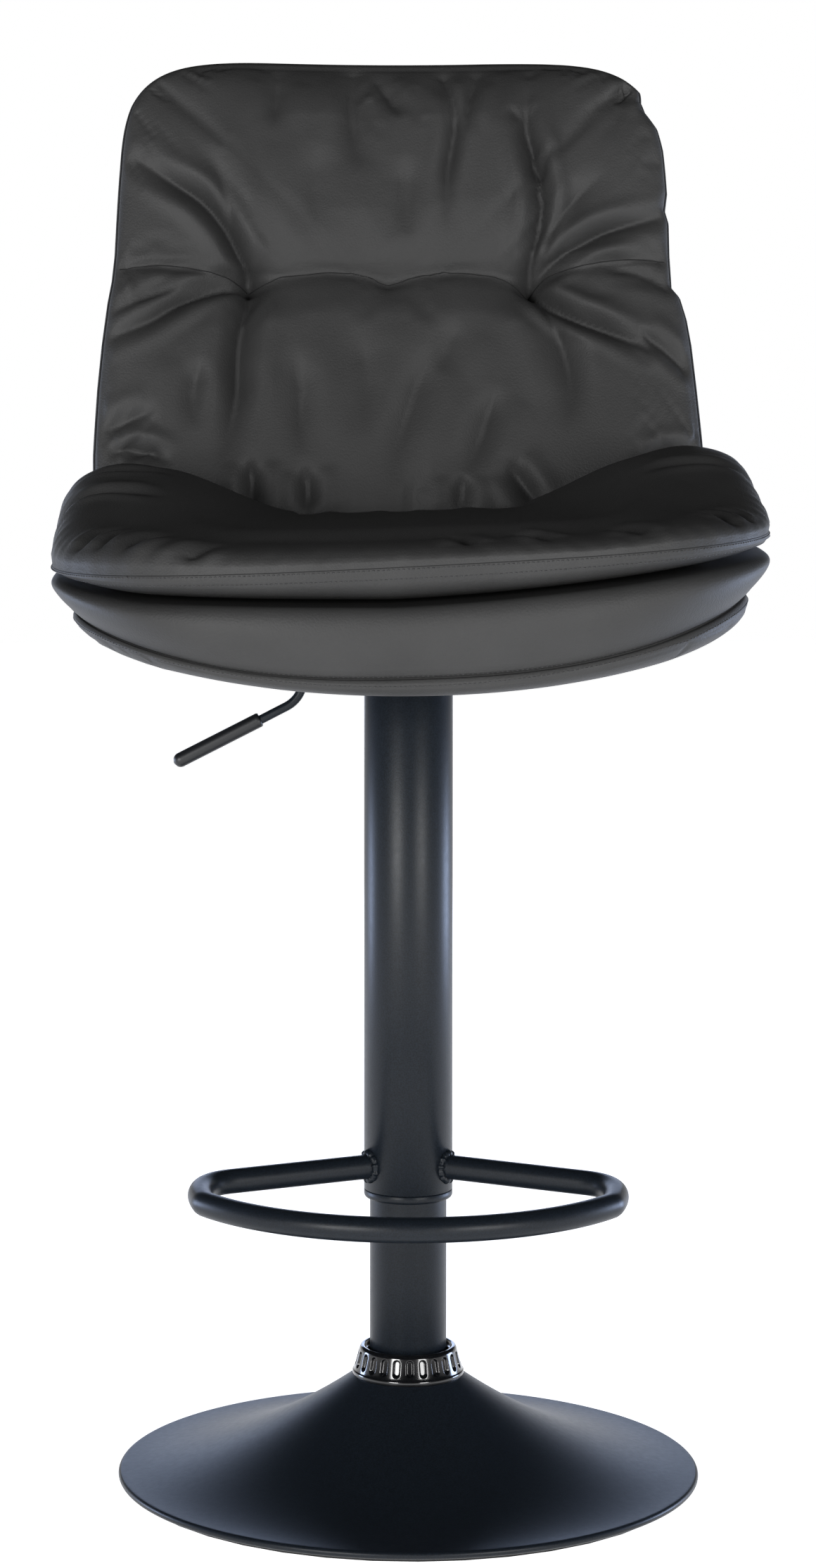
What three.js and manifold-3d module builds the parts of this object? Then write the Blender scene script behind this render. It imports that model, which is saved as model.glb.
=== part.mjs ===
// Height-adjustable bar stool: trumpet base, gas-lift column, welded footrest and a padded seat.
// Millimetres, +Z up. The origin is on the floor, on the column's axis; the sitter faces -Y.
import * as THREE from 'three';
import { mergeVertices } from 'three/addons/utils/BufferGeometryUtils.js';
import Module from 'manifold-3d';

const wasm = await Module();
wasm.setup();

// Driving dimensions
const GAP = 0.3; // clearance between pieces that touch
const BASE_R = 205; // rolled rim of the base
const NECK_R = 36; // top of the base's horn
const NECK_Z = 76;
const RIM_Z = 8;
const HORN_POWER = 1.8; // how fast the horn flattens outwards
const SHEET = 2.5; // base sheet thickness
const FLOOR_PAD_R = 198;
const STAND_R = 27; // fixed stand tube
const STAND_TOP = 400;
const COVER_R = 31.2; // cover tube that carries the footrest
const COVER_WALL = 1.7;
const COVER_LOW = 206;
const PLATE_Z = 564; // underside of the seat plate
const ROD_R = 5; // gas spring piston rod
const CYLINDER_R = 14; // gas spring pressure tube
const CYLINDER_LOW = 150;
const BAR_R = 8.5; // footrest tube
const FOOT_Z = 224; // footrest centre plane
const FOOT_TURN = -0.035; // the loop is welded on 2 degrees off square, in radians
const COVER_Z = 590.3; // underside of the dust cover that lines the seat board
const COVER_T = 0.8;
const BOARD_Z = COVER_Z + COVER_T + GAP;
const BOARD_T = 12;
const SEAT_HALF_W = 250;
const SEAT_FRONT = -203;
const SEAT_BACK = 196;
const SEAT_LOW = 569; // lowest point of the lower pad
const PAD_SPLIT = 639; // where the lower pad meets the cushion
const LEAN = 0.29; // how far the back leans, in radians
const BACK_FOOT = new THREE.Vector3(0, 122, 630); // foot of the back's front face
const BACK_TALL = 408;

// Finishes
const finish = (color, roughness, metalness) => new THREE.MeshStandardMaterial({ color, roughness, metalness });
const powderCoat = finish(0x272c33, 0.45, 0.5);
const zincSteel = finish(0x9a9da0, 0.4, 0.9);
const castIron = finish(0x35373a, 0.8, 0.6);
const rubber = finish(0x141414, 0.9, 0);
const glossPlastic = finish(0x101114, 0.15, 0);
const nylon = finish(0xd8d6cf, 0.5, 0);
const plywood = finish(0xb08d5f, 0.7, 0);
const leather = finish(0x3a3a3a, 0.5, 0);
const cloth = finish(0x17181a, 0.95, 0);
const gripPlastic = finish(0x1b1d21, 0.5, 0);

// Geometry helpers
function solidOf(geometry) {
  const plain = geometry.clone();
  plain.deleteAttribute('normal');
  plain.deleteAttribute('uv');
  const merged = mergeVertices(plain.index ? plain : mergeVertices(plain), 1e-3);
  const mesh = new wasm.Mesh({
    numProp: 3,
    vertProperties: new Float32Array(merged.attributes.position.array),
    triVerts: new Uint32Array(merged.index.array),
  });
  return new wasm.Manifold(mesh);
}

function geometryOf(solid) {
  const mesh = solid.getMesh();
  const geometry = new THREE.BufferGeometry();
  geometry.setAttribute('position', new THREE.BufferAttribute(new Float32Array(mesh.vertProperties), 3));
  geometry.setIndex(new THREE.BufferAttribute(new Uint32Array(mesh.triVerts), 1));
  geometry.computeVertexNormals();
  return geometry;
}

const cut = (geometry, ...tools) =>
  geometryOf(tools.reduce((solid, tool) => solid.subtract(solidOf(tool)), solidOf(geometry)));

const join = (geometry, ...others) =>
  geometryOf(others.reduce((solid, other) => solid.add(solidOf(other)), solidOf(geometry)));

// A body of revolution about Z from [radius, height] pairs, whichever way round they run.
function turned(profile, segments = 32) {
  const points = profile.map(([r, z]) => new THREE.Vector2(r, z));
  const ordered = THREE.ShapeUtils.area(points) < 0 ? points.reverse() : points;
  const onAxis = ordered[0].x === 0 && ordered[ordered.length - 1].x === 0;
  if (!onAxis) ordered.push(ordered[0].clone());
  return new THREE.LatheGeometry(ordered, segments).rotateX(Math.PI / 2);
}

const ring = (inner, outer, low, high, segments = 28) =>
  turned([[inner, low], [outer, low], [outer, high], [inner, high]], segments);

const disc = (radius, low, high, segments = 28) =>
  turned([[0, low], [radius, low], [radius, high], [0, high]], segments);

// A box from its lowest to its highest corner.
function block(low, high) {
  const size = high.map((value, i) => value - low[i]);
  const middle = high.map((value, i) => (value + low[i]) / 2);
  return new THREE.BoxGeometry(...size).translate(...middle);
}

// A round bar of radius r along a curve, with an even number of sides.
function bar(curve, r, steps, sides = 12) {
  const section = new THREE.Shape().absarc(0, 0, r, 0, 2 * Math.PI);
  return new THREE.ExtrudeGeometry(section, { extrudePath: curve, steps, curveSegments: sides / 2 });
}

// A hexagon bolt pointing up: its head from z = -head to 0 and its shank above.
function bolt(r, length, acrossCorners, head) {
  return turned([[0, -head], [acrossCorners, -head], [acrossCorners, 0], [r, 0], [r, length], [0, length]], 6);
}

// A padded body: a sphere stretched to a rounded box, squarer as its powers rise, then bent.
function pillow(half, planPower, sidePower, bend, around = 24, up = 12) {
  const geometry = new THREE.SphereGeometry(1, around, up).rotateX(Math.PI / 2);
  const at = geometry.attributes.position;
  const square = (value, power) => Math.sign(value) * Math.abs(value) ** (2 / power);
  for (let i = 0; i < at.count; i += 1) {
    const reach = Math.hypot(at.getX(i), at.getY(i)) || 1e-9;
    const out = reach < 1e-6 ? 0 : square(reach, sidePower);
    const x = half[0] * out * square(at.getX(i) / reach, planPower);
    const y = half[1] * out * square(at.getY(i) / reach, planPower);
    const z = half[2] * square(at.getZ(i), sidePower);
    at.setXYZ(i, ...bend(x, y, z));
  }
  geometry.deleteAttribute('normal');
  geometry.deleteAttribute('uv');
  const closed = mergeVertices(geometry, 1e-3);
  closed.computeVertexNormals();
  return closed;
}

function part(name, geometry, material, group) {
  const mesh = new THREE.Mesh(geometry, material);
  mesh.name = name;
  group.add(mesh);
  return mesh;
}

// Height of the base's outer face at radius r.
const hornZ = (r) => RIM_Z + (NECK_Z - RIM_Z) * ((BASE_R - r) / (BASE_R - NECK_R)) ** HORN_POWER;

// Base: spun sheet horn, weight, bottom plate, floor pad and the stand tube bolted to it.
function baseShell() {
  const count = 8;
  const edge = BASE_R - 3;
  const radii = Array.from({ length: count }, (_, i) => NECK_R + (edge - NECK_R) * (i / (count - 1)) ** 1.4);
  const outside = radii.map((r) => [r, hornZ(r)]);
  const inside = radii.slice(0, -1).map((r) => [r - 1.5, hornZ(r) - SHEET]).reverse();
  const roll = [[BASE_R - 0.6, RIM_Z - 0.6], [BASE_R, RIM_Z - 2], [BASE_R - 1.4, RIM_Z - 4], [BASE_R - 4, RIM_Z - 4.2]];
  return turned([...outside, ...roll, [BASE_R - 4, RIM_Z - 2.4], ...inside], 36);
}

function collarRing() {
  const slots = 24;
  const body = turned([
    [STAND_R + 1.5, NECK_Z + GAP], [NECK_R, NECK_Z + GAP], [39.5, hornZ(39.5) + GAP], [39.5, NECK_Z + 1],
    [34.4, NECK_Z + 16.5], [33.2, NECK_Z + 18.4], [31, NECK_Z + 18.4], [STAND_R + 1.5, NECK_Z + 15.5],
  ], 48);
  const cutters = Array.from({ length: slots }, (_, i) =>
    block([33.4, -1.9, NECK_Z + 4.4], [42, 1.9, NECK_Z + 13.6]).rotateZ((2 * Math.PI * i) / slots));
  return cut(body, ...cutters);
}

const FLANGE_R = 62;
const FLANGE_LOW = 5.6;
const FLANGE_T = 6;
const BASE_BOLT_RING = 45;
const quarter = (i) => Math.PI / 4 + (Math.PI / 2) * i;

function boltHoles(r, ringRadius, low, high) {
  return [0, 1, 2, 3].map((i) =>
    disc(r, low, high, 8).translate(ringRadius * Math.cos(quarter(i)), ringRadius * Math.sin(quarter(i)), 0));
}

function makeBase(group) {
  part('base_shell', baseShell(), powderCoat, group);
  part('collar_ring', collarRing(), glossPlastic, group);
  part('floor_pad', disc(FLOOR_PAD_R, 0, 3, 40), rubber, group);
  part('bottom_plate', cut(disc(194, 3.3, 5.3, 40), ...boltHoles(4.3, BASE_BOLT_RING, 2, 7)), zincSteel, group);
  part('base_weight', turned([[66, 5.6], [150, 5.6], [150, 13.4], [100, 13.4], [96, 30], [66, 30]]), castIron, group);
  part('stand_tube', ring(STAND_R - 2, STAND_R, FLANGE_LOW, STAND_TOP, 36), powderCoat, group);
  const flange = ring(STAND_R + GAP, FLANGE_R, FLANGE_LOW, FLANGE_LOW + FLANGE_T);
  part('tube_flange', cut(flange, ...boltHoles(4.3, BASE_BOLT_RING, 0, 20)), zincSteel, group);
  [0, 1, 2, 3].forEach((i) => {
    const one = part(`base_bolt_${i + 1}`, bolt(3.8, 8, 7.5, 5.3).rotateX(Math.PI), zincSteel, group);
    one.position.set(
      BASE_BOLT_RING * Math.cos(quarter(i)),
      BASE_BOLT_RING * Math.sin(quarter(i)),
      FLANGE_LOW + FLANGE_T + GAP,
    );
  });
  part('bearing_seat', ring(6.4, STAND_R - 2 - GAP, 12, 15), zincSteel, group);
  const bushBore = CYLINDER_R + 0.4;
  part('guide_bush', turned([
    [bushBore, STAND_TOP - 70], [STAND_R - 2 - GAP, STAND_TOP - 70], [STAND_R - 2 - GAP, STAND_TOP + GAP],
    [STAND_R - 0.5, STAND_TOP + GAP], [STAND_R - 0.5, STAND_TOP + 3], [bushBore, STAND_TOP + 3],
  ]), nylon, group);
}

// Gas spring rod: stands in the bearing at the foot of the stand tube and turns with the seat.
const PISTON_LOW = 345;

function rodClip() {
  return cut(ring(ROD_R + GAP, 9.5, 9.6, 11.6, 24), block([0, -2.4, 8], [12, 2.4, 13]));
}

function makeRod(group) {
  part('piston_rod', disc(ROD_R, 7, PISTON_LOW + 14, 24), zincSteel, group);
  part('rod_clip', rodClip(), zincSteel, group);
  part('thrust_bearing', ring(ROD_R + GAP, 15, 15.3, 21, 28), zincSteel, group);
  part('bump_stop', ring(ROD_R + GAP, 12.5, 21.3, 38, 24), rubber, group);
  part('gas_piston', ring(ROD_R + GAP, CYLINDER_R - 1.7, PISTON_LOW, PISTON_LOW + 14, 28), nylon, group);
}

// Gas spring pressure tube and the cover tube that hangs from the seat plate.
const CYLINDER_TOP = PLATE_Z + 3.4;

function gasCylinder() {
  const bore = CYLINDER_R - 1.4;
  const neck = CYLINDER_TOP - 26;
  return turned([
    [ROD_R + GAP, CYLINDER_LOW], [CYLINDER_R, CYLINDER_LOW], [CYLINDER_R, CYLINDER_TOP], [3.4, CYLINDER_TOP],
    [3.4, neck], [bore, neck], [bore, CYLINDER_LOW + 8], [ROD_R + GAP, CYLINDER_LOW + 8],
  ]);
}

function tubeLip() {
  const rim = COVER_LOW - GAP;
  return turned([
    [STAND_R + 0.6, rim + 20], [STAND_R + 0.6, rim - 5.8], [COVER_R - 1.8, rim - 5.8], [COVER_R - 0.3, rim - 4],
    [COVER_R, rim - 1.6], [COVER_R, rim], [COVER_R - COVER_WALL - GAP, rim], [COVER_R - COVER_WALL - GAP, rim + 20],
  ]);
}

// Footrest: two straight legs from the column, round corners, and one wide arc in front.
const LEG_END = [124, -64];
const CORNER = [151, -79];
const ARC_CENTRE_Y = -42;
const ARC_R = 165;
const ARC_START = -0.58; // where the front arc begins, in radians from +X

function footPath() {
  const level = (x, y) => new THREE.Vector3(x, y, FOOT_Z);
  const onArc = (angle) => level(ARC_R * Math.cos(angle), ARC_CENTRE_Y + ARC_R * Math.sin(angle));
  const sweep = Math.PI + 2 * ARC_START;
  const arc = Array.from({ length: 13 }, (_, i) => onArc(ARC_START - (sweep * i) / 12));
  const [legX, legY] = LEG_END;
  const path = new THREE.CurvePath();
  path.add(new THREE.LineCurve3(level(20, -12), level(legX, legY)));
  path.add(new THREE.QuadraticBezierCurve3(level(legX, legY), level(...CORNER), arc[0]));
  path.add(new THREE.CatmullRomCurve3(arc));
  path.add(new THREE.QuadraticBezierCurve3(arc[12], level(-CORNER[0], CORNER[1]), level(-legX, legY)));
  path.add(new THREE.LineCurve3(level(-legX, legY), level(-20, -12)));
  return path;
}

const column = (clearance) => disc(COVER_R + clearance, FOOT_Z - 40, FOOT_Z + 40, 36);

const footLoop = (grow) => bar(footPath(), BAR_R + grow, 44, 12).rotateZ(FOOT_TURN);

const BEAD_R = 2.6;
const BEAD_Y = -15;
const BEAD_TURN = -0.483; // the bead's ring faces along its leg, in radians

// The rough ring of weld where a leg meets the cover tube.
function weldBead(side) {
  const bead = new THREE.TorusGeometry(BAR_R + 1.2, BEAD_R, 6, 16);
  bead.rotateY(Math.PI / 2).rotateZ(side * BEAD_TURN);
  bead.translate(side * (COVER_R - 2.4), BEAD_Y, FOOT_Z).rotateZ(FOOT_TURN);
  return cut(bead, column(GAP), footLoop(GAP));
}

function makeColumn(group) {
  part('gas_cylinder', gasCylinder(), zincSteel, group);
  part('cone_socket', ring(CYLINDER_R + GAP, 22, PLATE_Z - 24, PLATE_Z - GAP, 28), zincSteel, group);
  part('tube_top_ring', ring(22 + GAP, COVER_R - COVER_WALL - GAP, PLATE_Z - 8, PLATE_Z - GAP), zincSteel, group);
  part('cover_tube', ring(COVER_R - COVER_WALL, COVER_R, COVER_LOW, PLATE_Z - GAP, 36), powderCoat, group);
  part('tube_lip', tubeLip(), powderCoat, group);
  part('footrest', cut(footLoop(0), column(GAP)), powderCoat, group);
  part('weld_bead_right', weldBead(1), powderCoat, group);
  part('weld_bead_left', weldBead(-1), powderCoat, group);
}

// Seat plate: a folded channel whose flanges bolt up to the seat board.
const PLATE_T = 2.5;
const CHANNEL_X = 52;
const CHANNEL_Y = 55;
const FLANGE_X = 78;
const PLATE_TOP = COVER_Z - GAP;
const SEAT_BOLTS = [[-65, -42], [65, -42], [-65, 42], [65, 42]];

function seatPlate() {
  const channel = block([-CHANNEL_X, -CHANNEL_Y, PLATE_Z], [CHANNEL_X, CHANNEL_Y, PLATE_TOP]);
  const inside = block(
    [PLATE_T - CHANNEL_X, -CHANNEL_Y - 1, PLATE_Z + PLATE_T],
    [CHANNEL_X - PLATE_T, CHANNEL_Y + 1, PLATE_TOP + 1],
  );
  const flange = (side) => block([-13, -CHANNEL_Y, PLATE_TOP - PLATE_T], [13.5, CHANNEL_Y, PLATE_TOP])
    .rotateZ(side > 0 ? 0 : Math.PI).translate(side * (FLANGE_X - 13.5), 0, 0);
  const holes = SEAT_BOLTS.map(([x, y]) => disc(3.4, PLATE_TOP - 5, PLATE_TOP + 2, 8).translate(x, y, 0));
  const slot = block([-CHANNEL_X - 1, -5, PLATE_Z + 5], [-CHANNEL_X + 4, 5, PLATE_TOP - 2]);
  const folded = join(cut(channel, inside), flange(1), flange(-1));
  return cut(folded, ...holes, slot, disc(CYLINDER_R + GAP, PLATE_Z - 2, PLATE_Z + 5, 28));
}

// Lever: a bent wire rocking on a cross pin, with its inner end over the gas valve.
const LEVER_Z = 575.2;
const LEVER_R = 3.2;
const PIVOT_X = -42;
const GRIP_FROM = new THREE.Vector3(-104.4, 0, 538.4);
const GRIP_TO = new THREE.Vector3(-165, 0, 507.6);

function leverRod() {
  const bend = (a, b, c) => new THREE.QuadraticBezierCurve3(a, b, c);
  const at = (x, z) => new THREE.Vector3(x, 0, z);
  const path = new THREE.CurvePath();
  path.add(new THREE.LineCurve3(at(8, LEVER_Z), at(-60, LEVER_Z)));
  path.add(bend(at(-60, LEVER_Z), at(-69, LEVER_Z), at(-73, 565)));
  path.add(new THREE.LineCurve3(at(-73, 565), at(-77, 556)));
  path.add(bend(at(-77, 556), at(-80.5, 549.8), at(-88, 546.4)));
  path.add(new THREE.LineCurve3(at(-88, 546.4), GRIP_TO.clone().lerp(GRIP_FROM, 0.15)));
  const pin = new THREE.CylinderGeometry(2, 2, 22, 10).translate(PIVOT_X, 0, LEVER_Z);
  return join(bar(path, LEVER_R, 28, 10), pin);
}

function leverGrip() {
  const along = new THREE.Vector3().subVectors(GRIP_TO, GRIP_FROM);
  const length = along.length();
  const sleeve = turned([
    [LEVER_R + GAP, 0], [4.8, 0], [5.2, 0.8], [5.2, length - 2.4], [4.2, length - 0.6], [2.4, length],
    [0, length], [0, length - 4], [LEVER_R + GAP, length - 4],
  ], 20);
  const turn = new THREE.Quaternion().setFromUnitVectors(new THREE.Vector3(0, 0, 1), along.normalize());
  return sleeve.applyQuaternion(turn).translate(...GRIP_FROM.toArray());
}

function leverBracket() {
  const foot = PLATE_Z + PLATE_T + GAP;
  const body = block([PIVOT_X - 5, -9, foot], [PIVOT_X + 5, 9, foot + 13.5]);
  const between = block([PIVOT_X - 6, -6.5, foot + 2], [PIVOT_X + 6, 6.5, foot + 15]);
  const hole = new THREE.CylinderGeometry(2.6, 2.6, 24, 16).translate(PIVOT_X, 0, LEVER_Z);
  return cut(body, between, hole);
}

// Seat pads and board
const PLAN_POWER = 3; // how square the pads are in plan
const SIDE_POWER = 3.2; // and from the side
const CUSHION_TOP = 690;
const PAD_CRESCENT = 30; // how far the lower pad's ends rise

// How far the padding curls up towards the rear corners of the seat.
const WING_RISE = 52;

function wing(x, y) {
  const sideways = THREE.MathUtils.smoothstep(Math.abs(x), 80, 235);
  const rearwards = THREE.MathUtils.smoothstep(y, -120, 110);
  return WING_RISE * sideways * rearwards;
}

// A seat pad between two heights. Its underside rises by crescent at both ends, and its top
// takes the share lift of the wings.
function seatPad(low, high, crescent, lift) {
  const half = [SEAT_HALF_W, (SEAT_BACK - SEAT_FRONT) / 2, (high - low) / 2];
  return pillow(half, PLAN_POWER, SIDE_POWER, (x, y, z) => {
    const share = (z + half[2]) / (2 * half[2]);
    const middleY = (SEAT_BACK + SEAT_FRONT) / 2;
    const rise = crescent * (1 - share) * (x / SEAT_HALF_W) ** 2;
    return [x, y + middleY, z + (low + high) / 2 + rise + lift * share * wing(x, y + middleY)];
  });
}

const BOARD_HALF = [150, 145];
const BOARD_CORNER = 70;

// A flat slab with the board's outline, a rectangle with round corners.
function boardSlab(grow, low, high) {
  const r = BOARD_CORNER;
  const [x, y] = BOARD_HALF.map((half) => half + grow - r);
  const plan = new THREE.Shape();
  [[x, y], [-x, y], [-x, -y], [x, -y]].forEach(([cx, cy], i) =>
    plan.absarc(cx, cy, r, (i * Math.PI) / 2, ((i + 1) * Math.PI) / 2));
  return new THREE.ExtrudeGeometry(plan, { depth: high - low, bevelEnabled: false, curveSegments: 4 })
    .translate(0, 0, low);
}

// Back: a bent plywood panel held by two steel stays, padded in front and upholstered behind.
const STAY_X = 92;
const STAY_W = 36;
const STAY_T = 4;
const SIDE_CURL = 22; // how far the sides of the back come forward

// Places a point of the upright back: x across, depth from its front face, height from its foot.
function onBack(x, depth, height) {
  const curled = depth + SIDE_CURL * (1 - (x / 200) ** 2);
  return new THREE.Vector3(x, curled, height).applyAxisAngle(new THREE.Vector3(1, 0, 0), -LEAN).add(BACK_FOOT);
}

// One upright layer of the back between two depths; it narrows from halfLow at its foot to halfHigh.
function backLayer(depths, heights, halfLow, halfHigh, power, grow = 0) {
  const tall = (heights[1] - heights[0]) / 2;
  const half = [1, (depths[1] - depths[0]) / 2 + grow, tall + grow];
  const middle = (depths[0] + depths[1]) / 2;
  const upright = (x, y, z) => {
    const share = (z + half[2]) / (2 * half[2]);
    const width = THREE.MathUtils.lerp(halfLow, halfHigh, share) + grow;
    return onBack(x * width, y + middle, z + heights[0] + tall).toArray();
  };
  const turnedUp = (x, y, z) => upright(x, z * (half[1] / half[2]), -y * (half[2] / half[1]));
  return pillow(half, power, 3, turnedUp);
}

const BACK_POWER = 4.2; // how square the back's outline is
const PAD_GAP = 0.8; // between the back cushion and the seat pads
const CUSHION_T = 46;
const PANEL_T = 7.4;
const PANEL_INSET = 14;
const SHELL_T = 23.6;
const SHELL_HANG = 26; // how far the rear cover reaches below the cushion
const SHELL_INSET = 6;
const BACK_HALF_LOW = 236;
const BACK_HALF_HIGH = 190;
const PANEL_DEPTH = CUSHION_T + 2 * GAP;
const SHELL_DEPTH = PANEL_DEPTH + PANEL_T + 0.4;

const backCushion = (grow = 0) =>
  backLayer([0, CUSHION_T], [0, BACK_TALL], BACK_HALF_LOW, BACK_HALF_HIGH, BACK_POWER, grow);

const backPanel = () => backLayer(
  [PANEL_DEPTH, PANEL_DEPTH + PANEL_T], [PANEL_INSET, BACK_TALL - PANEL_INSET],
  BACK_HALF_LOW - PANEL_INSET, BACK_HALF_HIGH - PANEL_INSET, BACK_POWER);

const backShell = () => backLayer(
  [SHELL_DEPTH, SHELL_DEPTH + SHELL_T], [-SHELL_HANG, BACK_TALL - 3],
  BACK_HALF_LOW - SHELL_INSET, BACK_HALF_HIGH - SHELL_INSET + 2, BACK_POWER);

const STAY_START_Y = 80;
const STAY_TOP = PLATE_TOP;
const STAY_HIGH = 210; // how far up the back the stays reach
const STAY_DEPTH = 59;
const STAY_BOLTS = [95, 125];

// A steel strap bent up from under the seat board to behind the back panel.
function backStay(side, grow) {
  const high = onBack(STAY_X, STAY_DEPTH, STAY_HIGH);
  const heelY = high.y - (high.z - STAY_TOP) * Math.tan(LEAN);
  const outline = new THREE.Shape([
    [STAY_START_Y - grow, STAY_TOP + grow], [heelY - grow, STAY_TOP + grow], [high.y - grow, high.z + grow],
    [high.y + STAY_T + grow, high.z + grow], [heelY + STAY_T + grow, STAY_TOP - STAY_T - grow],
    [STAY_START_Y - grow, STAY_TOP - STAY_T - grow],
  ].map(([y, z]) => new THREE.Vector2(y, z)));
  const strap = new THREE.ExtrudeGeometry(outline, { depth: STAY_W + 2 * grow, bevelEnabled: false });
  strap.rotateY(Math.PI / 2).rotateX(Math.PI / 2).translate(side * STAY_X - STAY_W / 2 - grow, 0, 0);
  return strap;
}

const stayHoles = (side, low, high) =>
  STAY_BOLTS.map((y) => disc(3.4, low, high, 8).translate(side * STAY_X, y, 0));

// The outlines of the pieces that the pads are hollowed for.
const stayRoom = [backStay(1, 0.5), backStay(-1, 0.5)];
const boardRoom = boardSlab(1, SEAT_LOW - 10, BOARD_Z + BOARD_T + GAP);

function makeSeat(group) {
  const plateHoles = SEAT_BOLTS.map(([x, y]) => disc(3.4, COVER_Z - 2, BOARD_Z + 11, 8).translate(x, y, 0));
  const allHoles = [...plateHoles, ...stayHoles(1, COVER_Z - 2, BOARD_Z + 11), ...stayHoles(-1, COVER_Z - 2, BOARD_Z + 11)];
  part('seat_plate', seatPlate(), powderCoat, group);
  part('lever_bracket', leverBracket(), zincSteel, group);
  part('dust_cover', cut(boardSlab(0, COVER_Z, COVER_Z + COVER_T), ...allHoles), cloth, group);
  part('seat_board', cut(boardSlab(0, BOARD_Z, BOARD_Z + BOARD_T), ...allHoles), plywood, group);
  part('seat_lower_pad', cut(seatPad(SEAT_LOW, PAD_SPLIT, PAD_CRESCENT, 0), boardRoom, backCushion(PAD_GAP), ...stayRoom), leather, group);
  part('seat_cushion', cut(seatPad(PAD_SPLIT + 1, CUSHION_TOP, 0, 1), backCushion(PAD_GAP)), leather, group);
  SEAT_BOLTS.forEach(([x, y], i) => {
    const one = part(`seat_bolt_${i + 1}`, bolt(3, 12, 5.8, 4), zincSteel, group);
    one.position.set(x, y, PLATE_TOP - PLATE_T - GAP);
  });
  [-1, 1].forEach((side) => STAY_BOLTS.forEach((y, i) => {
    const name = `stay_bolt_${side < 0 ? 'left' : 'right'}_${i + 1}`;
    const one = part(name, bolt(3, 14, 5.8, 4), zincSteel, group);
    one.position.set(side * STAY_X, y, STAY_TOP - STAY_T - GAP);
  }));
}

function makeBack(group) {
  [-1, 1].forEach((side) => {
    const strap = cut(backStay(side, 0), ...stayHoles(side, STAY_TOP - 10, STAY_TOP + 2));
    part(`back_stay_${side < 0 ? 'left' : 'right'}`, strap, powderCoat, group);
  });
  part('back_cushion', backCushion(), leather, group);
  part('back_panel', backPanel(), plywood, group);
  part('back_shell', cut(backShell(), ...stayRoom), leather, group);
}

function makeLever(group) {
  part('lever_rod', leverRod(), powderCoat, group);
  part('lever_grip', leverGrip(), gripPlastic, group);
  part('valve_pin', disc(3, CYLINDER_TOP - 20, CYLINDER_TOP + 4, 16), zincSteel, group);
}

const stool = new THREE.Group();
for (const make of [makeBase, makeRod, makeColumn, makeLever, makeSeat, makeBack]) {
  const group = new THREE.Group();
  make(group);
  stool.add(group);
}

export default stool;
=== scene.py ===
"""A gas-lift bar stool: trumpet base, column with a welded footrest, and a tufted leatherette seat."""
import math

import bpy
import numpy as np
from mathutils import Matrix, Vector


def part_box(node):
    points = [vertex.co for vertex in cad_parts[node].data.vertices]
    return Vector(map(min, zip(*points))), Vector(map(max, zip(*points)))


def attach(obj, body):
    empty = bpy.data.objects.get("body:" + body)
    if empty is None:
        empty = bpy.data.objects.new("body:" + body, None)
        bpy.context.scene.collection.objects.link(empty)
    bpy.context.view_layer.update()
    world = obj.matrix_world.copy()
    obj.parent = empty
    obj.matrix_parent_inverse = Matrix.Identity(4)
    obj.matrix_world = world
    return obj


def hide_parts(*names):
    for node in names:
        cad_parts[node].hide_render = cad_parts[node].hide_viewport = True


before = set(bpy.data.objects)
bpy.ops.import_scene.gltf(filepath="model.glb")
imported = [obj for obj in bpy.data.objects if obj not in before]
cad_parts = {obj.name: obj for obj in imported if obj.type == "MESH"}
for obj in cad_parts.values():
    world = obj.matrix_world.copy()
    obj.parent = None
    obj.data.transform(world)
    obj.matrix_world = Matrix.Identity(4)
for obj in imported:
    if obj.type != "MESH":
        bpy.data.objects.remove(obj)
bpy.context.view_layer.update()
mm = 0.001  # lengths below are written in millimetres

# Camera. It looks a little down on the stool from just left of its axis, at seat height.
# The lens shift keeps the column upright in the tall frame.
lens = bpy.data.cameras.new("camera")
lens.lens = 100.8
lens.sensor_width = 36
lens.shift_x = 0.05
lens.shift_y = -0.26
camera = bpy.data.objects.new("camera", lens)
camera.location = (-0.1057, -3.0784, 0.8973)
camera.rotation_euler = (math.radians(90 - 2.184), 0, math.radians(-0.933))
bpy.context.collection.objects.link(camera)
bpy.context.scene.camera = camera

# Studio. A pale floor in a white room whose ceiling is dark, so that upward faces stay deep.
# Two broad softboxes stand in front, two narrow ones edge the column from the sides, and a low one
# behind glances off the base.


def linear(colour):
    """An sRGB hex colour as linear red, green, blue and alpha."""
    parts = [int(colour[i : i + 2], 16) / 255 for i in (0, 2, 4)]
    return (*(c / 12.92 if c <= 0.04045 else ((c + 0.055) / 1.055) ** 2.4 for c in parts), 1)


def add_node(tree, kind, settings=None, links=None):
    """Adds a node, sets its properties or sockets by name, and links sockets to other outputs."""
    node = tree.nodes.new(kind)
    for key, value in (settings or {}).items():
        if isinstance(key, str) and hasattr(node, key):
            setattr(node, key, value)
        else:
            node.inputs[key].default_value = value
    for key, output in (links or {}).items():
        tree.links.new(output, node.inputs[key])
    return node


def softbox(name, place, aim, size, power, tint="ffffff"):
    """A rectangular lamp that faces its aim; size in metres, power in watts."""
    light = bpy.data.lights.new(name, "AREA")
    light.shape = "RECTANGLE"
    light.size, light.size_y = size
    light.energy = power
    light.color = linear(tint)[:3]
    lamp = bpy.data.objects.new(name, light)
    lamp.location = place
    lamp.rotation_euler = (Vector(aim) - Vector(place)).to_track_quat("-Z", "Y").to_euler()
    bpy.context.collection.objects.link(lamp)


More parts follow.
